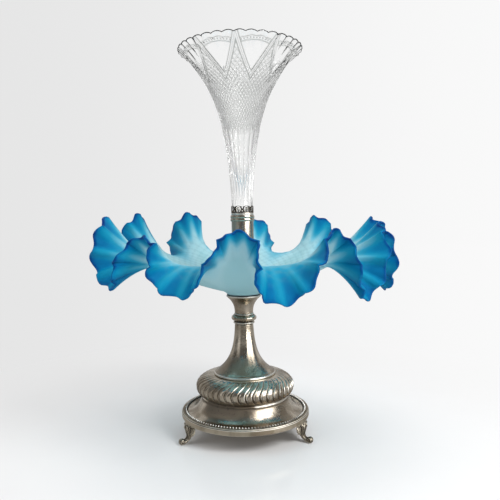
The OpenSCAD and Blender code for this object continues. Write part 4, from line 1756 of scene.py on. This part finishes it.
@dataclass
class Vase(SubAssembly):
    """Trumpet vase of pressed glass: flutes, diamonds and fans under a scalloped rim."""

    body: ClassVar[Body] = Body.VASE
    foot_radius: float = 10.3
    core: float = 8.0
    mouth_wall: float = 2.8
    throat_wall: float = 4.2
    solid: float = 18.0
    peg: float = 8.6
    peg_ease: float = 0.3
    fans: int = 9
    fan_turn: float = -24.0
    fan_low: float = 343.0
    fan_depth: float = 1.1
    diamond_low: float = 297.0
    diamond_height: float = 5.1
    diamond_depth: float = 0.9
    flutes: int = 18
    flute_depth: float = 0.9
    diamonds: int = 54
    scallops: int = 36
    scallop_depth: float = 1.7
    rim_round: float = 0.9
    columns: int = 600

    def __post_init__(self) -> None:
        """Takes the heights from the frame."""
        low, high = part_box("vase")
        self.low, self.high, self.mouth = low.z / MM, high.z / MM, high.x / MM
        self.foot_z = Span.of("pierced_gallery").high
        self.band_z = Span.of("reeded_band").high
        self.sleeve_z = Span.of("cork_sleeve").high
        self.sleeve_radius = Span.of("cork_sleeve").radius

    def radius_at(self, height: Union[float, np.ndarray]) -> Union[float, np.ndarray]:
        """Gives the outer radius at a height.

        Args:
            height: one height above the table, or many.

        Returns:
            The radius at each.
        """
        u = (height - self.foot_z) / (self.high - self.foot_z)
        return self.core + (self.foot_radius - self.core) * (
            (self.mouth - self.core) / (self.foot_radius - self.core)) ** u

    @staticmethod
    def saw(x: np.ndarray) -> np.ndarray:
        """Triangular wave: 0 at whole numbers and 1 half-way between them."""
        return 1 - 2 * np.abs(x - np.floor(x) - 0.5)

    def fan_cut(self, turn: np.ndarray, height: float) -> tuple[np.ndarray, np.ndarray, np.ndarray]:
        """Gives the fans at a height: plain panels between double ribs, crossed by a beaded arc.

        Args:
            turn: angles from the front.
            height: height above the table.

        Returns:
            Depths of the cut as shares of a fan's depth, where the fans lie, and where their lines lie.
        """
        slope = math.hypot(1, (self.radius_at(height + 1) - self.radius_at(height - 1)) / 2)
        period = TAU / self.fans
        offset = (turn - math.radians(self.fan_turn) + period / 2) % period - period / 2
        across = self.radius_at(height) * offset
        up = (height - self.fan_low) * slope
        top = (self.high - self.fan_low) * slope
        inside = self.mouth * period / 2 * up / (top * 0.92) - np.abs(across)
        fan = smooth(-0.3, 0.3, inside)
        ribs = ridge(inside - 1.0, 2.0) + ridge(inside - 3.0, 2.0)
        beam = np.hypot(across, up) - top * 0.85
        beads = smooth(0.2, 0.8, self.saw(np.arctan2(across, max(up, 0.1)) * 15))
        strap = ridge(beam, 3.8) ** 0.5 * (0.35 + 0.65 * beads)
        within = smooth(3.2, 4.2, inside)
        panel = fan * (1 - np.clip(ribs + strap * within, 0, 1))
        lines = ridge(inside, 2.2) + 0.7 * ridge(inside - 2.0, 1.4) + ridge(inside - 4.0, 2.0)
        arcs = ridge(beam - 2.2, 1.7) + ridge(beam + 2.2, 1.9) + ridge(beam, 3.4) * (1 - beads)
        return panel, fan, np.clip(lines + arcs * within, 0, 1) * float(up > -0.5)

    def cut_at(self, turn: np.ndarray, height: float) -> tuple[np.ndarray, np.ndarray]:
        """Gives how the pressed pattern cuts into the outside at a height.

        Args:
            turn: angles from the front.
            height: height above the table.

        Returns:
            Depths of the cut in millimetres, and how much painted shade greys each point.
        """
        panel, fan, lines = self.fan_cut(turn, height)
        around = self.diamonds / TAU * turn
        rise = (height - self.diamond_low) / self.diamond_height
        net = 1 - np.minimum(self.saw(around + rise), self.saw(around - rise))
        starts = self.diamond_low + 3.0 * self.saw(self.flutes / TAU * turn)
        cut = smooth(-0.5, 0.5, height - starts)
        diamond = net * cut * (1 - fan)
        begun = float(smooth(self.foot_z - 2, self.foot_z + 14, np.array(height)))
        flute = np.abs(np.cos(self.flutes / 2 * turn)) ** 0.8 * (1 - cut) * begun
        depth = self.fan_depth * panel + self.diamond_depth * diamond + self.flute_depth * flute
        # painted shade: grey over the diamonds, the fan lines and the flute edges
        field = cut * (1 - fan) * (0.08 + 0.46 * smooth(0.5, 0.95, net))
        edges = 0.4 * (1 - cut) * begun * (1 - flute) ** 2
        return depth, np.clip(field + lines + edges, 0, 1)

    def add_hollow(self, skin: Skin, turn: np.ndarray, scallop: np.ndarray) -> None:
        """Adds the hollow, from its bottom up, and the scalloped rim.

        Args:
            skin: gets the rows.
            turn: angles from the front.
            scallop: depths of the rim's scallops there.
        """
        bottom = self.foot_z + self.solid * 0.5
        reach = self.high - self.rim_round - bottom
        for u in np.concatenate((np.linspace(0, 0.2, 7) ** 1.3, np.linspace(0.2, 1, 17)[1:])):
            height = bottom + reach * u
            wall = self.throat_wall + (self.mouth_wall - self.throat_wall) * u
            narrow = float(smooth(-0.02, 0.22, np.array(u)))
            radius = (self.radius_at(height) - wall) * narrow * float(u > 0)
            skin.add(on_ring(turn, radius, height - scallop * max(0.0, (u - 0.93) / 0.07)), groove=0.0)
        half = self.mouth_wall / 2
        for angle in np.linspace(math.pi, 0, 6)[1:-1]:
            radius = self.mouth - 0.5 - half + half * math.cos(angle)
            height = self.high - scallop - self.rim_round * (1 - math.sin(angle))
            skin.add(on_ring(turn, radius, height), groove=0.0)

    def add_outside(self, skin: Skin, turn: np.ndarray, scallop: np.ndarray) -> None:
        """Adds the pressed outside, from the rim down.

        Args:
            skin: gets the rows.
            turn: angles from the front.
            scallop: depths of the rim's scallops there.
        """
        heights = np.concatenate((np.linspace(self.high - self.rim_round, self.fan_low - 1, 60),
                                  np.linspace(self.fan_low - 1, self.diamond_low - 2, 56)[1:],
                                  np.linspace(self.diamond_low - 2, self.foot_z, 10)[1:]))
        for height in heights:
            depth, groove = self.cut_at(turn, height)
            lowered = height - scallop * max(0.0, (height - self.high + 8) / 8)
            skin.add(on_ring(turn, self.radius_at(height) - depth, lowered), groove=groove)

    def add_peg(self, skin: Skin, turn: np.ndarray) -> None:
        """Adds the shoulder and the peg with their eased corners.

        Args:
            skin: gets the rows.
            turn: angles from the front.
        """
        ease, peg, low, sleeve = self.peg_ease, self.peg, self.low, self.sleeve_z
        shoulder = self.sleeve_radius - ease
        for radius, height in (
                (self.foot_radius - 0.2, self.band_z + ease), (shoulder, self.band_z),
                (shoulder, sleeve + 2 * ease), (shoulder, sleeve + ease), (shoulder - ease, sleeve),
                (peg + ease, sleeve), (peg, sleeve - ease), (peg, sleeve - 2 * ease),
                (peg, low + 2 * ease), (peg, low + ease), (peg - ease, low), (0.0, low)):
            skin.add(on_ring(turn, radius, height), groove=0.0)

    def build(self) -> None:
        """Lays the skin of the glass: the hollow, the scalloped rim, the pressed outside and the peg."""
        turn = np.linspace(0, TAU, self.columns + 1)
        scallop = self.scallop_depth * (1 - np.abs(np.cos(self.scallops / 2 * turn)) ** 0.8)
        skin = Skin()
        self.add_hollow(skin, turn, scallop)
        self.add_outside(skin, turn, scallop)
        self.add_peg(skin, turn)
        self.piece("pressed_vase", skin.laid(), self.palette.clear, "vase", slot=Slot.CLEAR_GLASS)


@dataclass
class Rod(SubAssembly):
    """Rod, washer and nut that draw the stand together."""

    def build(self) -> None:
        """Dresses the three CAD nodes, whose shapes are right."""
        for node in ("tie_rod", "rod_washer", "rod_nut"):
            self.dress_node(node, self.palette.steel)


@dataclass(frozen=True)
class Lamp:
    """A soft square lamp: its place and side in metres, and its power in watts."""

    name: str
    place: tuple[float, float, float]
    size: float
    power: float


@dataclass
class Studio:
    """Floor, lamps, world and camera."""

    camera_away: float = 0.550
    camera_high: float = 0.2097
    camera_roll: float = 0.89
    lens: float = 39.6
    shift: tuple[float, float] = (0.015, -0.06)
    backdrop: float = 0.79
    backdrop_gain: float = 0.16
    ambient: float = 0.54
    room: float = 0.05
    ceiling: float = 0.12
    far_wall: float = 0.45
    panel: float = 0.42
    sill: float = 0.2
    floor_gloss: float = 0.24
    through_glass: tuple[float, float] = (0.54, 0.40)
    window: float = 4.6
    window_from: float = 25.0
    window_edge: float = 7.0
    window_to: float = 76.0
    window_fade: float = 12.0
    floor_size: float = 4.0
    aim: tuple[float, float, float] = (0.0, 0.0, 0.18)
    lamps: tuple[Lamp, ...] = (
        Lamp("key", (0.85, -0.75, 1.05), 0.6, 15.5), Lamp("fill", (-1.1, -0.35, 0.75), 0.9, 4.5),
        Lamp("top", (0.0, 0.35, 1.35), 1.0, 6.0), Lamp("front", (0.25, -1.2, 0.30), 0.5, 1.5))

    def build(self) -> None:
        """Sets up the studio."""
        bpy.context.scene.view_settings.view_transform = "Standard"
        self.build_camera()
        self.build_world()
        self.build_floor()
        for lamp in self.lamps:
            self.add_lamp(lamp)

    def build_camera(self) -> None:
        """Makes the camera of the photograph's view."""
        data = bpy.data.cameras.new("camera")
        data.lens = self.lens
        data.shift_x, data.shift_y = self.shift
        made = bpy.data.objects.new("camera", data)
        made.location = (0, -self.camera_away, self.camera_high)
        made.rotation_euler = (math.radians(90), math.radians(self.camera_roll), 0)
        bpy.context.scene.collection.objects.link(made)
        bpy.context.scene.camera = made

    @staticmethod
    def rays(graph: Graph) -> tuple[Value, Value, Value]:
        """Tells rays of the camera, off gloss and through glass from others.

        Args:
            graph: gets the nodes.

        Returns:
            1 or 0 for each of the three kinds.
        """
        path = graph.node("ShaderNodeLightPath")
        camera, gloss, glass = (Value(graph, path.outputs[f"Is {kind} Ray"])
                                for kind in ("Camera", "Glossy", "Transmission"))
        return camera, gloss * (1 - glass), glass

    def pale(self, aside: Value) -> Value:
        """Gives the backdrop's brightness, which grows to the right."""
        return aside.step(-0.45, 0.5) * self.backdrop_gain + self.backdrop

    def build_world(self) -> None:
        """Lights evenly from all sides, with a pale backdrop and a dim room with a window for the gloss."""
        world = bpy.data.worlds.new("studio")
        world.use_nodes = True
        bpy.context.scene.world = world
        graph = Graph(world.node_tree)
        x, y, z = graph.parts(graph.node("ShaderNodeTexCoord").outputs["Generated"])
        bearing = graph.math("ARCTAN2", x, y * -1) * math.degrees(1)
        begun = bearing.step(self.window_from, self.window_from + self.window_edge)
        ended = bearing.step(self.window_to - self.window_fade, self.window_to + self.window_fade)
        lit = begun * (1 - ended) * z.step(-0.35, -0.05)
        left = bearing.step(-80, -62) * (1 - bearing.step(-52, -38)) * z.step(-0.2, 0.1)
        sill = z.step(0.02, 0.07) * (1 - z.step(0.15, 0.24)) * (1 - y.step(0.0, 0.3))
        room = z.step(-0.2, 1.0) * self.ceiling + y.step(0.05, 0.6) * self.far_wall
        room = room + left * self.panel + sill * self.sill + self.room + lit * self.window
        dark, gain = self.through_glass
        behind = y.step(0.45, 0.93) * gain + dark
        camera, gloss, glass = self.rays(graph)
        rest = 1 - camera - gloss - glass
        light = camera * self.pale(x) + glass * behind + gloss * room + rest.high(0) * self.ambient
        background = graph.shader("Background", {"Color": (1, 1, 1), "Strength": light})
        graph.node("ShaderNodeOutputWorld", None, {"Surface": background})

    def build_floor(self) -> None:
        """Makes a pale floor that fades into the backdrop and looks dimmer in the gloss of the silver."""
        bm = bmesh.new()
        bmesh.ops.create_circle(bm, cap_ends=True, segments=96, radius=self.floor_size)
        made = placed("floor", bm)
        material = bpy.data.materials.new("pale_floor")
        material.use_nodes = True
        graph = Graph(material.node_tree)
        place = graph.place()
        away = graph.node("ShaderNodeVectorMath", {"operation": "LENGTH"}, {0: place})
        far = Value(graph, away.outputs["Value"]).step(0.10, 0.42)
        x, y, _ = graph.parts(place)
        grain = graph.noise(30, 3)
        near = graph.shader("BsdfPrincipled", {
            "Base Color": graph.blend(grain, (0.80, 0.80, 0.80), (0.82, 0.82, 0.82)),
            "Roughness": grain * 0.04 + 0.10, "Specular IOR Level": 0.2})
        bright = graph.shader("Emission", {
            "Color": (1, 1, 1), "Strength": self.pale(x / (y + self.camera_away).high(0.3))})
        dim = graph.shader("Emission", {"Color": (1, 0.97, 0.93), "Strength": self.room + self.floor_gloss})
        camera, gloss, glass = self.rays(graph)
        seen = graph.shader("MixShader", {0: far * camera.high(glass), 1: near, 2: bright})
        mixed = graph.shader("MixShader", {0: gloss * 0.8, 1: seen, 2: dim})
        graph.node("ShaderNodeOutputMaterial", None, {"Surface": mixed})
        made.data.materials.append(material)

    def add_lamp(self, lamp: Lamp) -> None:
        """Adds a lamp that faces the object and doesn't show in its gloss.

        Args:
            lamp: what is added.
        """
        data = bpy.data.lights.new(lamp.name, "AREA")
        data.size = lamp.size
        data.energy = lamp.power
        made = bpy.data.objects.new(lamp.name, data)
        made.location = lamp.place
        made.rotation_euler = (Vector(self.aim) - Vector(lamp.place)).to_track_quat("-Z", "Y").to_euler()
        made.visible_camera = False
        made.visible_glossy = False
        bpy.context.scene.collection.objects.link(made)


def main() -> None:
    """Builds the studio and the object."""
    logging.basicConfig(level=logging.INFO, format="%(name)s: %(message)s")
    Studio().build()
    palette = Palette()
    Base(palette).build()
    for node, turn in (("foot_front_left", -60), ("foot_front_right", 60), ("foot_back", 180)):
        Foot(palette, node, turn).build()
    Knop(palette).build()
    Column(palette).build()
    Rod(palette).build()
    Bowl(palette).build()
    VaseSocket(palette).build()
    Vase(palette).build()


if __name__ == "__main__":
    main()
